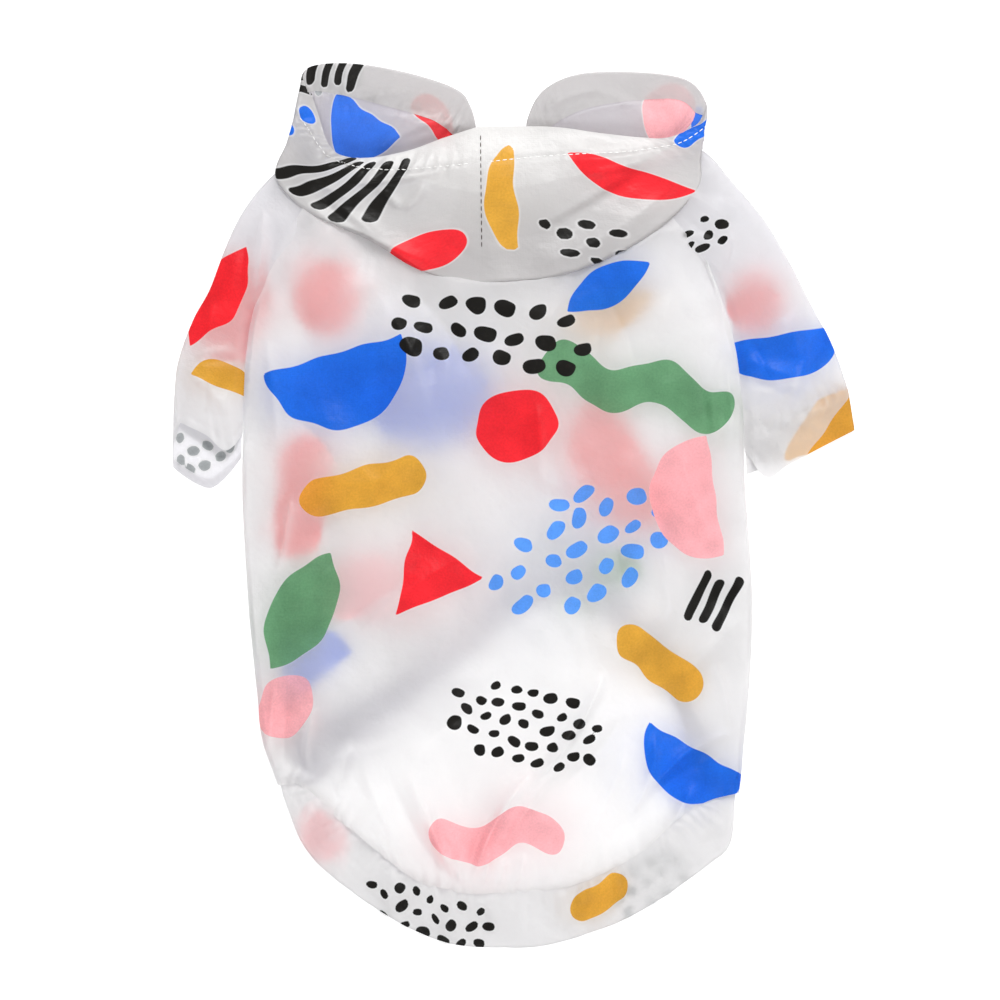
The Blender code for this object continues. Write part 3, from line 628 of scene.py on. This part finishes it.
# Cut-out shapes: shape, ink, x, y on the flat cut, half length, half width, turn in degrees.
# Groups of small marks: "pebbles", larger "stones" or "stripes", ink, x, y, half length, half width, turn.
BACK_PRINT = (
    ("half", "cobalt", -74, 62, 30, 30, 196), ("stones", "black", -10, 72, 46, 18, -8),
    ("wave", "green", 52, 50, 42, 9, -12), ("disc", "red", 2, 34, 17, 15, 20),
    ("bar", "mustard", -62, 8, 27, 8, 14), ("half", "pink", 84, 4, 26, 26, 98),
    ("stones", "sky", 28, -18, 38, 22, 24), ("leaf", "green", -88, -44, 27, 13, 62),
    ("triangle", "red", -36, -24, 20, 15, 24), ("disc", "pink", -95, -84, 14, 11, 60),
    ("pebbles", "black", 6, -92, 34, 17, -14), ("bar", "mustard", 62, -66, 22, 7.5, -38),
    ("half", "cobalt", 78, -104, 24, 20, 150), ("wave", "pink", -6, -138, 28, 8, 6),
    ("stripes", "black", 84, -40, 12, 9, 66), ("leaf", "cobalt", 40, 92, 20, 8, 30),
)
BELLY_PRINT = (
    ("disc", "cobalt", -34, 46, 26, 20, 10), ("half", "red", 52, 22, 30, 28, 120),
    ("bar", "red", -88, 4, 26, 10, 84), ("leaf", "mustard", 40, 82, 20, 10, 20),
    ("disc", "pink", -64, -34, 18, 13, 20), ("pebbles", "black", 20, -24, 22, 14, 10),
    ("wave", "green", 36, -34, 20, 8, 30), ("half", "cobalt", -84, -74, 22, 22, 40),
    ("disc", "red", -78, 88, 13, 16, 0),
)
LEFT_SLEEVE_PRINT = (
    ("leaf", "red", 6, 76, 24, 9, 96), ("half", "mustard", 20, 116, 14, 14, 200),
    ("disc", "red", -17, 80, 13, 22, 10), ("disc", "black", -5, 140, 2.6, 1.9, 60),
    ("disc", "black", -10.5, 145.5, 2.8, 2, 20), ("disc", "black", -5.5, 149.5, 2.4, 1.8, 100),
    ("disc", "black", -16.5, 142.5, 2.6, 2, -20), ("disc", "black", -15.5, 151, 2.9, 2.1, 10),
    ("disc", "black", -22, 147, 2.6, 2, 40), ("disc", "black", -9.5, 153, 2.3, 1.7, -30),
    ("disc", "black", -26, 143, 2.4, 1.8, 80),
)
RIGHT_SLEEVE_PRINT = (
    ("half", "cobalt", 20, 105, 26, 22, -20), ("disc", "red", -22, 88, 12, 14, 0),
    ("half", "mustard", 8, 150, 20, 18, 45), ("pebbles", "black", 24, 50, 10, 8, 0),
    ("bar", "mustard", 16, 170, 20, 9, 18),
)
BAND_PRINT = (
    ("pebbles", "black", 96, 9, 34, 12, 2), ("bar", "mustard", 172, 14, 15, 6, 8),
    ("pebbles", "black", 196, -9, 26, 10, 0), ("disc", "pink", 30, -8, 12, 8, 0),
)
LEFT_HOOD_PRINT = (
    ("stripes", "black", 44, 18, 17, 13, 82), ("disc", "red", 14, 48, 11, 8, 10),
    ("stones", "cobalt", 82, 26, 14, 26, 0), ("half", "cobalt", 136, 22, 21, 22, 20),
    ("bar", "red", 164, 14, 12, 5, 20), ("stripes", "black", 108, 3, 12, 17, 80),
)
RIGHT_HOOD_PRINT = (
    ("half", "mustard", 13, 30, 22, 11, 90), ("leaf", "red", 52, 22, 20, 7, 34),
    ("pebbles", "black", 38, 50, 18, 8, 30), ("disc", "pink", 118, 18, 19, 15, 0),
    ("wave", "cobalt", 92, 6, 14, 4, 10),
)


def disc(p, q, a, b):
    k = np.hypot(p / a, q / b)
    return k * (k - 1) / np.maximum(np.hypot(p / a**2, q / b**2), 1e-9)


def bar(p, q, a, b):
    return np.hypot(np.maximum(np.abs(p) - (a - b), 0), q) - b


def wave(p, q, a, b):
    return bar(p, q - 0.45 * b * np.sin(1.1 * math.pi * p / (1.6 * b) / 1.6), a, b)


def half(p, q, a, b):
    return np.maximum(disc(p, q, a, b), -q - 0.06 * a)


def pebble(p, q, a, b):
    tip = 0.2 * np.exp(-(((np.arctan2(q / b, p / a) - 1) / 0.42) ** 2))
    return disc(p / (1 + tip), q / (1 + tip), a, b)


def leaf(p, q, a, b):
    radius = (a * a + b * b) / (2 * b)
    return np.hypot(p, np.abs(q) + radius - b) - radius


def triangle(p, q, a, b):
    soft = 2.5
    slope = math.hypot(2 * b, a)
    sides = (np.abs(p) * 2 * b + (q - b) * a) / slope
    return np.maximum(sides + soft, -q - b + soft) - soft


SHAPES = {"disc": disc, "bar": bar, "wave": wave, "half": half, "leaf": leaf, "triangle": triangle}


def marks(kind, x, y, a, b, turn, rng):
    """The single small shapes of a group: centre, half sizes and turn of each."""
    c, s = math.cos(math.radians(turn)), math.sin(math.radians(turn))
    if kind == "stripes":
        pitch, wide = 6.4, 1.9
        count = max(2, int(2 * b / pitch) + 1)
        for k in range(count):
            off = (k - (count - 1) / 2) * pitch
            slip, length = rng.uniform(-1.5, 1.5), a * rng.uniform(0.85, 1.05)
            yield x + c * slip - s * off, y + s * slip + c * off, length, wide, turn + rng.uniform(-3, 3)
        return
    pitch = 13 if kind == "stones" else 8.6
    for j in range(-6, 7):
        for i in range(-9, 10):
            p = (i + 0.5 * (j % 2)) * pitch + rng.uniform(-0.14, 0.14) * pitch
            q = (j * 0.8 + rng.uniform(-0.1, 0.1)) * pitch
            size, slim, lean = rng.uniform(0.26, 0.37) * pitch, rng.uniform(0.6, 0.82), rng.uniform(-40, 40)
            if (p / a) ** 2 + (q / b) ** 2 < 1:
                yield x + c * p - s * q, y + s * p + c * q, size, size * slim, turn + lean


def printed(cut, table, seed):
    """For each ink, how far each point of the cut is outside the shapes in that ink."""
    rng = np.random.default_rng(seed)
    x, y = (axis + 0.55 * waves(*parts(cut), 17, seed + k) for k, axis in enumerate(parts(cut), 1))
    away = {ink: np.full(x.shape, 9.0) for ink in INKS}
    for kind, ink, cx, cy, a, b, turn in table:
        if kind in SHAPES:
            singles, shape = [(cx, cy, a, b, turn)], SHAPES[kind]
        else:
            singles, shape = marks(kind, cx, cy, a, b, turn, rng), bar if kind == "stripes" else pebble
        for sx, sy, sa, sb, angle in singles:
            c, s = math.cos(math.radians(angle)), math.sin(math.radians(angle))
            near = (np.abs(x - sx) < sa + sb + 9) & (np.abs(y - sy) < sa + sb + 9)
            p = (x[near] - sx) * c + (y[near] - sy) * s
            q = (y[near] - sy) * c - (x[near] - sx) * s
            away[ink][near] = np.minimum(away[ink][near], shape(p, q, sa, sb))
    return away


# ---- Materials ----


def linear(colour):
    """sRGB hex to a linear colour."""
    parts = [int(colour[i:i + 2], 16) / 255 for i in (1, 3, 5)]
    return (*(p / 12.92 if p <= 0.04045 else ((p + 0.055) / 1.055) ** 2.4 for p in parts), 1)


def add(tree, kind, inputs=(), **settings):
    """A node with its settings, its inputs given as values or as sockets to link."""
    made = tree.nodes.new("ShaderNode" + kind)
    for name, value in settings.items():
        setattr(made, name, value)
    for name, value in dict(inputs).items():
        if isinstance(value, bpy.types.NodeSocket):
            tree.links.new(value, made.inputs[name])
        else:
            made.inputs[name].default_value = value
    return made


def new_material(name):
    made = bpy.data.materials.new(name)
    made.use_nodes = True
    made.node_tree.nodes.clear()
    return made, made.node_tree


def printed_polyester(name, front, back, painted_shade_and_light, show_through, clear):
    """Plain-woven polyester of about 80 g a square metre, heat-printed: thin enough to glow with
    what lies under it, softly shiny, with the dye nearly as strong on the back of the cloth."""
    made, tree = new_material(name)
    panel = add(tree, "UVMap", uv_map="panel").outputs["UV"]
    thread_mm = 0.9  # the real threads are 0.25 mm, too fine to show
    mottle_mm, patch_mm, crinkle_mm = 0.9, 14, 7
    behind = add(tree, "NewGeometry").outputs["Backfacing"]
    margin = add(tree, "Attribute", attribute_name="ink_margin").outputs["Fac"]
    margin = add(tree, "MapRange", enumerate((margin, 0.9, 0.2, 0, 0.45))).outputs[0]
    white = add(tree, "Mix", {
        "Factor": behind, 6: linear(front), 7: linear(back)}, data_type="RGBA").outputs[2]
    # Painted shade and light: where the attribute says, the white turns to a second colour. It is greyer,
    # as painted shade, on the body, belly and sleeves, and lighter, as painted light, on the hood.
    layers = add(tree, "Attribute", attribute_name="painted_shade_and_light").outputs["Fac"]
    white = add(tree, "Mix", {
        "Factor": layers, 6: white, 7: linear(painted_shade_and_light)}, data_type="RGBA").outputs[2]
    colour = add(tree, "Mix", {
        "Factor": margin, 6: white, 7: linear("#FCFCFB")}, data_type="RGBA").outputs[2]
    faded_black = add(tree, "Mix", {
        "Factor": behind, 6: linear(INKS["black"]), 7: linear("#B0B4B6")}, data_type="RGBA").outputs[2]
    cover = None
    for ink, code in INKS.items():
        away = add(tree, "Attribute", attribute_name="ink_" + ink).outputs["Fac"]
        inked = add(tree, "MapRange", enumerate((away, 0.14, -0.14, 0, 1))).outputs[0]
        colour = add(tree, "Mix", {
            "Factor": inked, 6: colour, 7: faded_black if ink == "black" else linear(code),
        }, data_type="RGBA").outputs[2]
        cover = inked if cover is None else add(
            tree, "Math", {0: cover, 1: inked}, operation="MAXIMUM").outputs[0]
    mottle, patch, crinkle = (
        add(tree, "TexNoise", {
            "Vector": panel, "Scale": 1 / size_mm, "Detail": detail, "Roughness": rough}).outputs["Fac"]
        for size_mm, detail, rough in ((mottle_mm, 3, 0.6), (patch_mm, 2, 0.5), (crinkle_mm, 4, 0.55))
    )
    grain, strength = (
        add(tree, "MapRange", enumerate((value, 0.3, 0.7, least, most))).outputs[0]
        for value, least, most in ((mottle, 0.9, 1.06), (patch, 0.88, 1.1))
    )
    grain = add(tree, "Math", {0: grain, 1: strength}, operation="MULTIPLY").outputs[0]
    grain = add(tree, "Mix", {"Factor": cover, 2: 1, 3: grain}).outputs[0]
    colour = add(tree, "VectorMath", {0: colour, "Scale": grain}, operation="SCALE").outputs[0]
    paler = add(tree, "Math", {0: behind, 1: 1 - show_through}, operation="MULTIPLY").outputs[0]
    colour = add(tree, "Mix", {"Factor": paler, 6: colour, 7: white}, data_type="RGBA").outputs[2]
    warp, weft = (
        add(tree, "TexWave", {"Vector": panel, "Scale": 0.314 / thread_mm, "Distortion": 0.3},
            bands_direction=axis).outputs["Fac"]
        for axis in ("X", "Y")
    )
    weave = add(tree, "Math", {0: warp, 1: weft}, operation="MULTIPLY").outputs[0]
    fine = add(tree, "Bump", {
        "Height": weave, "Strength": 0.25, "Distance": 0.05 * MM}).outputs["Normal"]
    normal = add(tree, "Bump", {
        "Height": crinkle, "Strength": 0.5, "Distance": 1.2 * MM, "Normal": fine}).outputs["Normal"]
    gloss = add(tree, "MapRange", enumerate((cover, 0, 1, 0.7, 0.22))).outputs[0]
    lit = add(tree, "BsdfPrincipled", {
        "Base Color": colour, "Roughness": 0.42, "Specular IOR Level": gloss, "Normal": normal,
        "Sheen Weight": 0.12, "Sheen Roughness": 0.4}).outputs[0]
    glow = add(tree, "BsdfTranslucent", {"Color": colour, "Normal": normal}).outputs[0]
    thin = add(tree, "MapRange", enumerate((cover, 0, 1, clear, 0.6 * clear))).outputs[0]
    surface = add(tree, "MixShader", {0: thin, 1: lit, 2: glow}).outputs[0]
    add(tree, "OutputMaterial", {"Surface": surface})
    return made


def sewing_thread(name, code):
    """Spun polyester thread: two plies whose twist catches the light as short slanting ribs."""
    made, tree = new_material(name)
    place = add(tree, "TexCoord").outputs["Object"]
    twist_mm = 0.6
    ribs = add(tree, "TexWave", {
        "Vector": place, "Scale": 0.314 / (twist_mm * MM), "Distortion": 1},
        bands_direction="DIAGONAL").outputs["Fac"]
    bump = add(tree, "Bump", {"Height": ribs, "Strength": 0.4, "Distance": 0.08 * MM})
    shade = add(tree, "Mix", {
        "Factor": ribs, 6: [v * 0.82 for v in linear(code)], 7: linear(code)}, data_type="RGBA")
    lit = add(tree, "BsdfPrincipled", {
        "Base Color": shade.outputs[2], "Roughness": 0.45, "Normal": bump.outputs["Normal"]})
    add(tree, "OutputMaterial", {"Surface": lit.outputs[0]})
    return made


# ---- Making the pieces ----


def piece_of(name, shape, material):
    """An object in the scene from a bmesh, in one material."""
    mesh = bpy.data.meshes.new(name)
    shape.to_mesh(mesh)
    shape.free()
    mesh.shade_smooth()
    mesh.materials.append(material)
    piece = bpy.data.objects.new(name, mesh)
    bpy.context.scene.collection.objects.link(piece)
    return piece


def sew(name, cloth, print_table, seed, material, painted_shade_and_light=0.0):
    """A shown piece from its grid: a bmesh grid moved on to the points, with its cut and print."""
    rows, columns = cloth.points.shape[:2]
    grid = bmesh.new()
    bmesh.ops.create_grid(grid, x_segments=columns - 1, y_segments=rows - 1, size=1.0)
    if cloth.face < 0:
        bmesh.ops.reverse_faces(grid, faces=grid.faces)
    piece = piece_of(name, grid, material)
    mesh = piece.data
    places = (cloth.points + SHIFT) * MM
    mesh.vertices.foreach_set("co", places.astype(np.float32).ravel())
    corner_of = np.zeros(len(mesh.loops), np.int32)
    mesh.loops.foreach_get("vertex_index", corner_of)
    panel = mesh.uv_layers.new(name="panel")
    flat = cloth.cut.reshape(-1, 2)[corner_of]
    panel.data.foreach_set("uv", flat.astype(np.float32).ravel())
    inks = printed(cloth.cut, print_table, seed)
    layers = {"ink_" + ink: away for ink, away in inks.items()}
    layers["ink_margin"] = np.minimum.reduce(list(inks.values()))
    # How much of the material's colour for painted shade and light each point takes.
    layers["painted_shade_and_light"] = painted_shade_and_light + 0 * cloth.cut[..., 0]
    for layer, values in layers.items():
        stored = mesh.attributes.new(layer, "FLOAT", "POINT")
        stored.data.foreach_set("value", values.astype(np.float32).ravel())
    mesh.update()
    return piece


def lay(piece, node, cloth):
    """Puts a cloth piece in the frame in the place of its solid."""
    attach(piece, "root")
    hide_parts(node)
    cloth.cut_area()


def stitches(name, runs, pitch, material):
    """Short raised stitches along runs of (points, normals), joined into one mesh."""
    length, thick = 0.72 * pitch, 0.42
    made = bmesh.new()
    for points, normals in runs:
        far = distance(points)
        for at in np.arange(pitch, far[-1] - pitch, pitch):
            a, b, n = (
                Vector([np.interp(at + off, far, values[:, axis]) for axis in range(3)])
                for off, values in ((-length / 2, points), (length / 2, points), (0, normals))
            )
            run = (b - a).normalized()
            n = (n - run * n.dot(run)).normalized()
            turn = Matrix((run, n.cross(run), n)).transposed().to_4x4()
            size = Matrix.Diagonal((length / 2, thick / 2, thick / 2, 1))
            middle = (a + b) / 2 + n * 0.12
            bmesh.ops.create_uvsphere(
                made, u_segments=8, v_segments=5, radius=1,
                matrix=Matrix.Scale(MM, 4) @ Matrix.Translation(middle + Vector(SHIFT)) @ turn @ size
                @ Matrix.Rotation(math.pi / 2, 4, "Y"),
            )
    piece = piece_of(name, made, material)
    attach(piece, "root")
    return piece


def puckers(distance, run, spacing, reach, height, seed):
    """Small gathers that run away from a row of stitches: `distance` from it, `run` along it."""
    uneven = 1 + 0.5 * waves(run, distance * 0.2, 23, seed)
    ripple = np.sin(2 * math.pi * run / spacing + 1.6 * waves(run, distance, 15, seed + 1))
    return height * uneven * ripple * np.exp(-np.abs(distance) / reach)


# Its third colour is painted shade: a greyer white where the cloth lies doubled, on the lower sleeve layer
# and on the shoulders.
WHITE_CLOTH = printed_polyester(
    "printed_polyester", "#F8F7F6", "#E9E9EB", painted_shade_and_light="#E0DFE5", show_through=1, clear=0.74)
# Same cloth as the body, with its front and reverse written greyer as painted shade: the shade of the
# hood's stacked layers and of its inside. Its colour for layered cloth is lighter, so on the hood it paints
# light.
PAINTED_SHADE_HOOD_CLOTH = printed_polyester(
    "printed_polyester_hood_painted_shade", "#CDCBCA", "#CCC8CD", painted_shade_and_light="#E8E7E6", show_through=0.95, clear=0.5)
WHITE_THREAD = sewing_thread("white_thread", "#F4F4F2")
DARK_THREAD = sewing_thread("dark_thread", "#3A2A26")


def make_back():
    cloth, on_top, y = back_cloth()
    x = cloth.cut[..., 0]
    hem_gap = y - height_of(HEM_SEAM, cloth.points[..., 0])
    relief = 3.4 * creases(x, y, BACK_CREASES)
    relief += 1.1 * waves(x, y, 46, 3) + 0.3 * waves(x, y, 17, 4)
    relief += (0.9 + 0.4 * waves(x, y, 70, 7)) * crumple(x, y, 26, 8)
    relief += (0.35 + 0.25 * waves(x, y, 60, 27)) * crumple(x, y, 15, 28)
    relief *= 1 - 0.75 * ease((y - height_of(HOOD_LINE, x) + 6) / 10)
    left_part = ease((20 - x) / 70)
    relief *= ease(0.5 + hem_gap / 12)
    relief += puckers(hem_gap, x, 6.2, 9, 0.3 + 0.3 * left_part, 6)
    swollen = 1 + 0.5 * waves(x, y, 15, 9)
    relief += left_part * swollen * np.exp(-(((hem_gap - 4) / 2.8) ** 2))
    relief -= 0.5 * np.exp(-np.maximum(hem_gap, 0) / 0.8)
    below_hood = height_of(HOOD_LINE, x) - y
    relief += 0.6 * np.exp(-np.maximum(below_hood, 0) / 7) * ease((below_hood + 3) / 3)
    cloth.push(np.where(on_top, relief, 0.1 * relief))
    px, py, pz = parts(cloth.points)
    over = on_top & (py > height_of(BELLY_HEM, px) - 1)
    pz = np.where(over, np.maximum(pz, REST + belly_lift(px, py) + 0.5), pz)
    hidden = on_top & (py > height_of(HOOD_LINE, px) + 3)
    cloth.points[..., 2] = np.where(hidden, np.minimum(pz, TOP + dome(px, py) + 0.15), pz)
    piece = sew("back_cloth", cloth, BACK_PRINT, 11, WHITE_CLOTH)
    lay(piece, "back_panel", cloth)


def belly_lift(x, y):
    """How far the belly's cloth stands off the surface, inside the garment."""
    relief = 0.25 * waves(x, y, 40, 23) + 0.1 * waves(x, y, 14, 24)
    up = y - height_of(BELLY_HEM, x)
    slack = 2 * ease(up / 30) * ease((96 - np.abs(x + 8)) / 30)
    standing = 3.2 * np.exp(-((up / 16) ** 2)) * np.maximum(1 - ((x + 6) / 100) ** 2, 0)
    return 0.3 + np.maximum(slack, standing) + np.maximum(creases(x, y, BELLY_CREASES), 0) + relief


def make_belly():
    cloth = belly_cloth()
    cloth.points[..., 2] += belly_lift(*parts(cloth.cut))
    cloth.turn_in("first row", BELLY_CASING, 0.5)
    cloth.turn_in("first row", BELLY_CASING - 2, 0.25)
    x, y = parts(cloth.cut)
    # Painted shade: the turned casing also takes the darker colour for layered cloth.
    painted_shade_and_light = ease((height_of(BELLY_HEM, x) + BELLY_CASING - y) / 2)
    piece = sew("belly_cloth", cloth, BELLY_PRINT, 21, WHITE_CLOTH, painted_shade_and_light)
    lay(piece, "belly_panel", cloth)


def make_sleeve(name, node, shape, crease_table, print_table, hem, shaded, seed):
    cloth, upper = sleeve_cloth(*shape)
    x, y, _ = parts(cloth.points)
    around, down = parts(cloth.cut)
    relief = 2.2 * creases(x, y, crease_table) + 0.5 * waves(x, y, 26, seed)
    relief += 0.5 * crumple(x, y, 18, seed + 1)
    from_hem = down[-1:] - hem - down
    relief += puckers(from_hem, around, 5.4, 5, 0.4, seed + 2)
    relief -= 0.4 * np.exp(-((from_hem / 1.2) ** 2))
    relief *= ease(0.25 + np.abs(around) / 12)
    cloth.push(np.where(upper, relief, 0.25 * np.abs(relief)))
    cloth.turn_in("last row", hem, 0.3)
    around, down = parts(cloth.cut)  # the turned-in hem is with them now
    # Painted shade: the lower layer (by `shaded`) and the upper sleeve near the shoulder are darkened in
    # colour.
    shoulder_painted_shade = 0.25 * ease((115 - down) / 45)
    painted_shade_and_light = np.maximum(shaded * ease(-around / 4), shoulder_painted_shade)
    piece = sew(name, cloth, print_table, seed + 3, WHITE_CLOTH, painted_shade_and_light)
    lay(piece, node, cloth)


def make_band():
    cloth, upper = band_cloth()
    (x, y, _), (along_fold, around) = parts(cloth.points), parts(cloth.cut)
    from_seam = around.max(axis=1, keepdims=True) - around - ALLOWANCE
    relief = 0.3 * waves(along_fold, around, 24, 41) + 0.7 * crumple(along_fold, around, 13, 42)
    relief += 0.15 * waves(along_fold, 2 * around, 7, 47)
    relief += 1.7 * creases(x, y, BAND_CREASES)
    left_part = ease((x.max() - x) / 90 - 0.6)
    relief += puckers(from_seam, along_fold, 5.8, 6, 0.35 + 0.35 * left_part, 43)
    away = ease((from_seam + 1) / 4)
    cloth.push(np.where(upper, relief * ease(np.abs(around) / 3) * away, 0.1 * relief))
    height = cloth.points[..., 2]
    above_fold = upper & (around > 2)
    cloth.points[..., 2] = np.where(above_fold, np.maximum(height, REST + 0.7), height)
    piece = sew("hem_band_cloth", cloth, BAND_PRINT, 44, WHITE_CLOTH)
    lay(piece, "hem_band", cloth)


HOOD_CREASES = (
    (67, 145, -8, 99, -1, 4, -1), (74, 140, 2, 98, 6, 7, 1.2), (50, 141, 12, 118, 1, 1.4, 0.6),
    (60, 146, 26, 138, 1, 1.4, 0.5), (-30, 110, -6, 97, 1, 3, -0.5), (-6, 112, -12, 96, 0.5, 2, 0.5),
    (-70, 135, -26, 140.5, -1, 1.6, 0.9), (-56, 134, -45, 123, 0.5, 1.8, 0.9),
    (-46, 123, -34, 137, -0.5, 1.8, 0.9), (-84, 128, -22, 98, -3, 6, 1.1),
    (-92, 138, -60, 122, 3, 5, 0.8), (-88, 130, -64, 110, -1, 1.6, 0.5),
    (-83, 132, -58, 112, -1, 1.6, -0.5), (-76, 128, -54, 110, 1, 1.8, 0.5),
    (-20, 142, -30, 112, 2, 6, -0.5), (8, 136, 24, 112, 1, 7, 0.5), (24, 144, 60, 148, -1, 2, 0.5),
)
FAR_CREASES = (
    (-62, 144, -13, 157, 9, 3.4, 4), (-70, 162, -30, 158, 3, 2.4, 1.2),
    (-60, 152, -34, 162, -2, 2.4, 0.9), (-76, 166, -38, 174, 1.5, 1.4, 1.2),
    (12, 164, 40, 174, 3, 3, 1.6), (18, 160, 58, 168, 3, 2.4, 1.4), (30, 176, 60, 160, 2, 2.4, 1.2),
    (56, 176, 72, 160, 2, 2.6, 1),
)


def make_hood(name, table, print_table, seed):
    cloth, on_top, section = hood_cloth(table)
    (x, y, _), (from_crown, from_rim) = parts(cloth.points), parts(cloth.cut)
    far_side = (section < FAR_SIDE)[:, None]
    relief = np.where(on_top, 2.7 * creases(x, y, HOOD_CREASES), 0)
    relief += 0.5 * waves(from_crown, from_rim, 34, seed)
    relief += 0.6 * crumple(from_crown, from_rim, 20, seed + 1)
    hem = height_of(HOOD_HEM, section)[:, None]
    wrinkled = 0.3 + 0.4 * ease((-18 - x) / 10)
    relief += puckers(from_rim - hem, from_crown, 4.8, 3.5, wrinkled, seed + 2)
    relief -= 0.4 * np.exp(-(((from_rim - hem) / 1) ** 2))
    relief *= ease(0.1 + from_crown / 9)
    cloth.push(np.where(far_side, 0, np.where(on_top, relief, 0.1 * relief)))
    px, py, pz = parts(cloth.points)
    lowest = TOP + dome(px, py) + 0.85
    sunk = on_top & (section > ROLLED)[:, None] & (pz < lowest)
    cloth.points[..., 2] = np.where(sunk, lowest, pz)
    gathered = 1 if table is LEFT_HOOD else 0.3
    gathers = puckers(from_rim - hem, from_crown, 3.6, 5, gathered, seed + 5)
    lift = np.maximum(creases(x, y, FAR_CREASES) + gathers, 0) + 0.3 * np.abs(relief)
    cloth.points[..., 2] += np.where(far_side, lift, 0)
    normals = cloth.normals()
    stitched = slice(FIRST_STITCH, None)
    rim_run = [
        np.array([[np.interp(h, far[::-1], row[::-1, axis]) for axis in range(3)]
                  for h, far, row in zip(hem[stitched, 0], from_rim[stitched], values[stitched])])
        for values in (cloth.points, normals)
    ]
    crown, beside_crown = cloth.points[-1, SEAM_SHOWS:], cloth.points[-2, SEAM_SHOWS:]
    seam_run = (between(crown, beside_crown, 0.4), normals[-2, SEAM_SHOWS:])
    cloth.turn_in("last column", hem[:, 0], 0.5)
    from_rim = cloth.cut[..., 1]  # the turned-in hem is with it now
    # Painted light: the turned hem and a wide band of the rolled hood by its near rim take the hood's
    # lighter colour.
    near = ease((section - ROLLED + 0.5) / 1.5)[:, None]
    painted_light_band = 0.75 * near * (1 - ease((from_rim - 22) / 34))
    painted_shade_and_light = np.maximum(ease(hem - from_rim) * (0.15 + 0.85 * near), painted_light_band)
    piece = sew(name, cloth, print_table, seed + 3, PAINTED_SHADE_HOOD_CLOTH, painted_shade_and_light)
    return piece, cloth, rim_run, seam_run


def make_hoods():
    left, left_cloth, left_rim, _ = make_hood("hood_left_cloth", LEFT_HOOD, LEFT_HOOD_PRINT, 51)
    right, right_cloth, right_rim, seam = make_hood(
        "hood_right_cloth", RIGHT_HOOD, RIGHT_HOOD_PRINT, 61)
    rim_stitches = stitches("hood_rim_stitches", [left_rim, right_rim], 2.8, WHITE_THREAD)
    seam_stitches = stitches("hood_seam_stitches", [seam], 3, DARK_THREAD)
    lay(left, "hood_left", left_cloth)
    lay(right, "hood_right", right_cloth)


make_back()
make_belly()
make_sleeve("sleeve_left_cloth", "sleeve_left", (LEFT_SLEEVE, LEFT_CUFF, LEFT_EDGE, LEFT_RAGLAN),
            LEFT_SLEEVE_CREASES, LEFT_SLEEVE_PRINT, 3, 0.3, 71)
make_sleeve("sleeve_right_cloth", "sleeve_right", (RIGHT_SLEEVE, RIGHT_CUFF, RIGHT_EDGE, RIGHT_RAGLAN),
            RIGHT_SLEEVE_CREASES, RIGHT_SLEEVE_PRINT, 20, 0, 81)
make_band()
make_hoods()

# ---- Surface, light and camera ----


def seen_white(tree):
    """1 where a ray comes straight from the camera."""
    return add(tree, "LightPath").outputs["Is Camera Ray"]


def make_floor():
    flat = bmesh.new()
    bmesh.ops.create_grid(flat, x_segments=1, y_segments=1, size=8.0)
    made, tree = new_material("white_paper")
    paper = add(tree, "BsdfDiffuse", {"Color": linear("#F4F4F4")}).outputs[0]
    lift = add(tree, "Math", {0: seen_white(tree), 1: 0.3}, operation="MULTIPLY").outputs[0]
    glow = add(tree, "Emission", {"Strength": lift}).outputs[0]
    both = add(tree, "AddShader", {0: paper, 1: glow}).outputs[0]
    add(tree, "OutputMaterial", {"Surface": both})
    floor = piece_of("floor", flat, made)
    floor.location.z = CAD_LOW.z - 0.0001


def make_world(strength):
    world = bpy.data.worlds.new("studio")
    bpy.context.scene.world = world
    world.use_nodes = True
    tree = world.node_tree
    tree.nodes.clear()
    level = add(tree, "Mix", {"Factor": seen_white(tree), 2: strength, 3: 1}).outputs[0]
    sky = add(tree, "Background", {"Color": (1, 1, 1, 1), "Strength": level}).outputs[0]
    add(tree, "OutputWorld", {"Surface": sky})


def softbox(name, place, size, power):
    """A square soft light that faces the middle of the garment."""
    data = bpy.data.lights.new(name, "AREA")
    data.shape = "SQUARE"
    data.size = size
    data.energy = power
    lamp = bpy.data.objects.new(name, data)
    lamp.location = place
    lamp.rotation_euler = Vector(place).to_track_quat("Z", "Y").to_euler()
    bpy.context.scene.collection.objects.link(lamp)


def make_camera():
    """Straight down from far off, the view 420 mm wide."""
    across, away, sensor = 0.42, 2.4, 36
    data = bpy.data.cameras.new("camera")
    data.sensor_width = sensor
    data.lens = sensor * away / across
    camera = bpy.data.objects.new("camera", data)
    off_centre = (-5.89, 2.635)  # where the view's middle falls on the garment
    camera.location = (off_centre[0] * MM, off_centre[1] * MM, away)
    bpy.context.scene.collection.objects.link(camera)
    bpy.context.scene.camera = camera


make_floor()
make_world(0.635)
softbox("key", (0.1, 1.16, 1.28), 0.45, 22.2)
softbox("side", (1.2, 0, 1), 0.5, 6)
softbox("fill", (-0.2, -1.2, 1.2), 0.8, 9)
make_camera()
bpy.context.scene.view_settings.view_transform = "Standard"
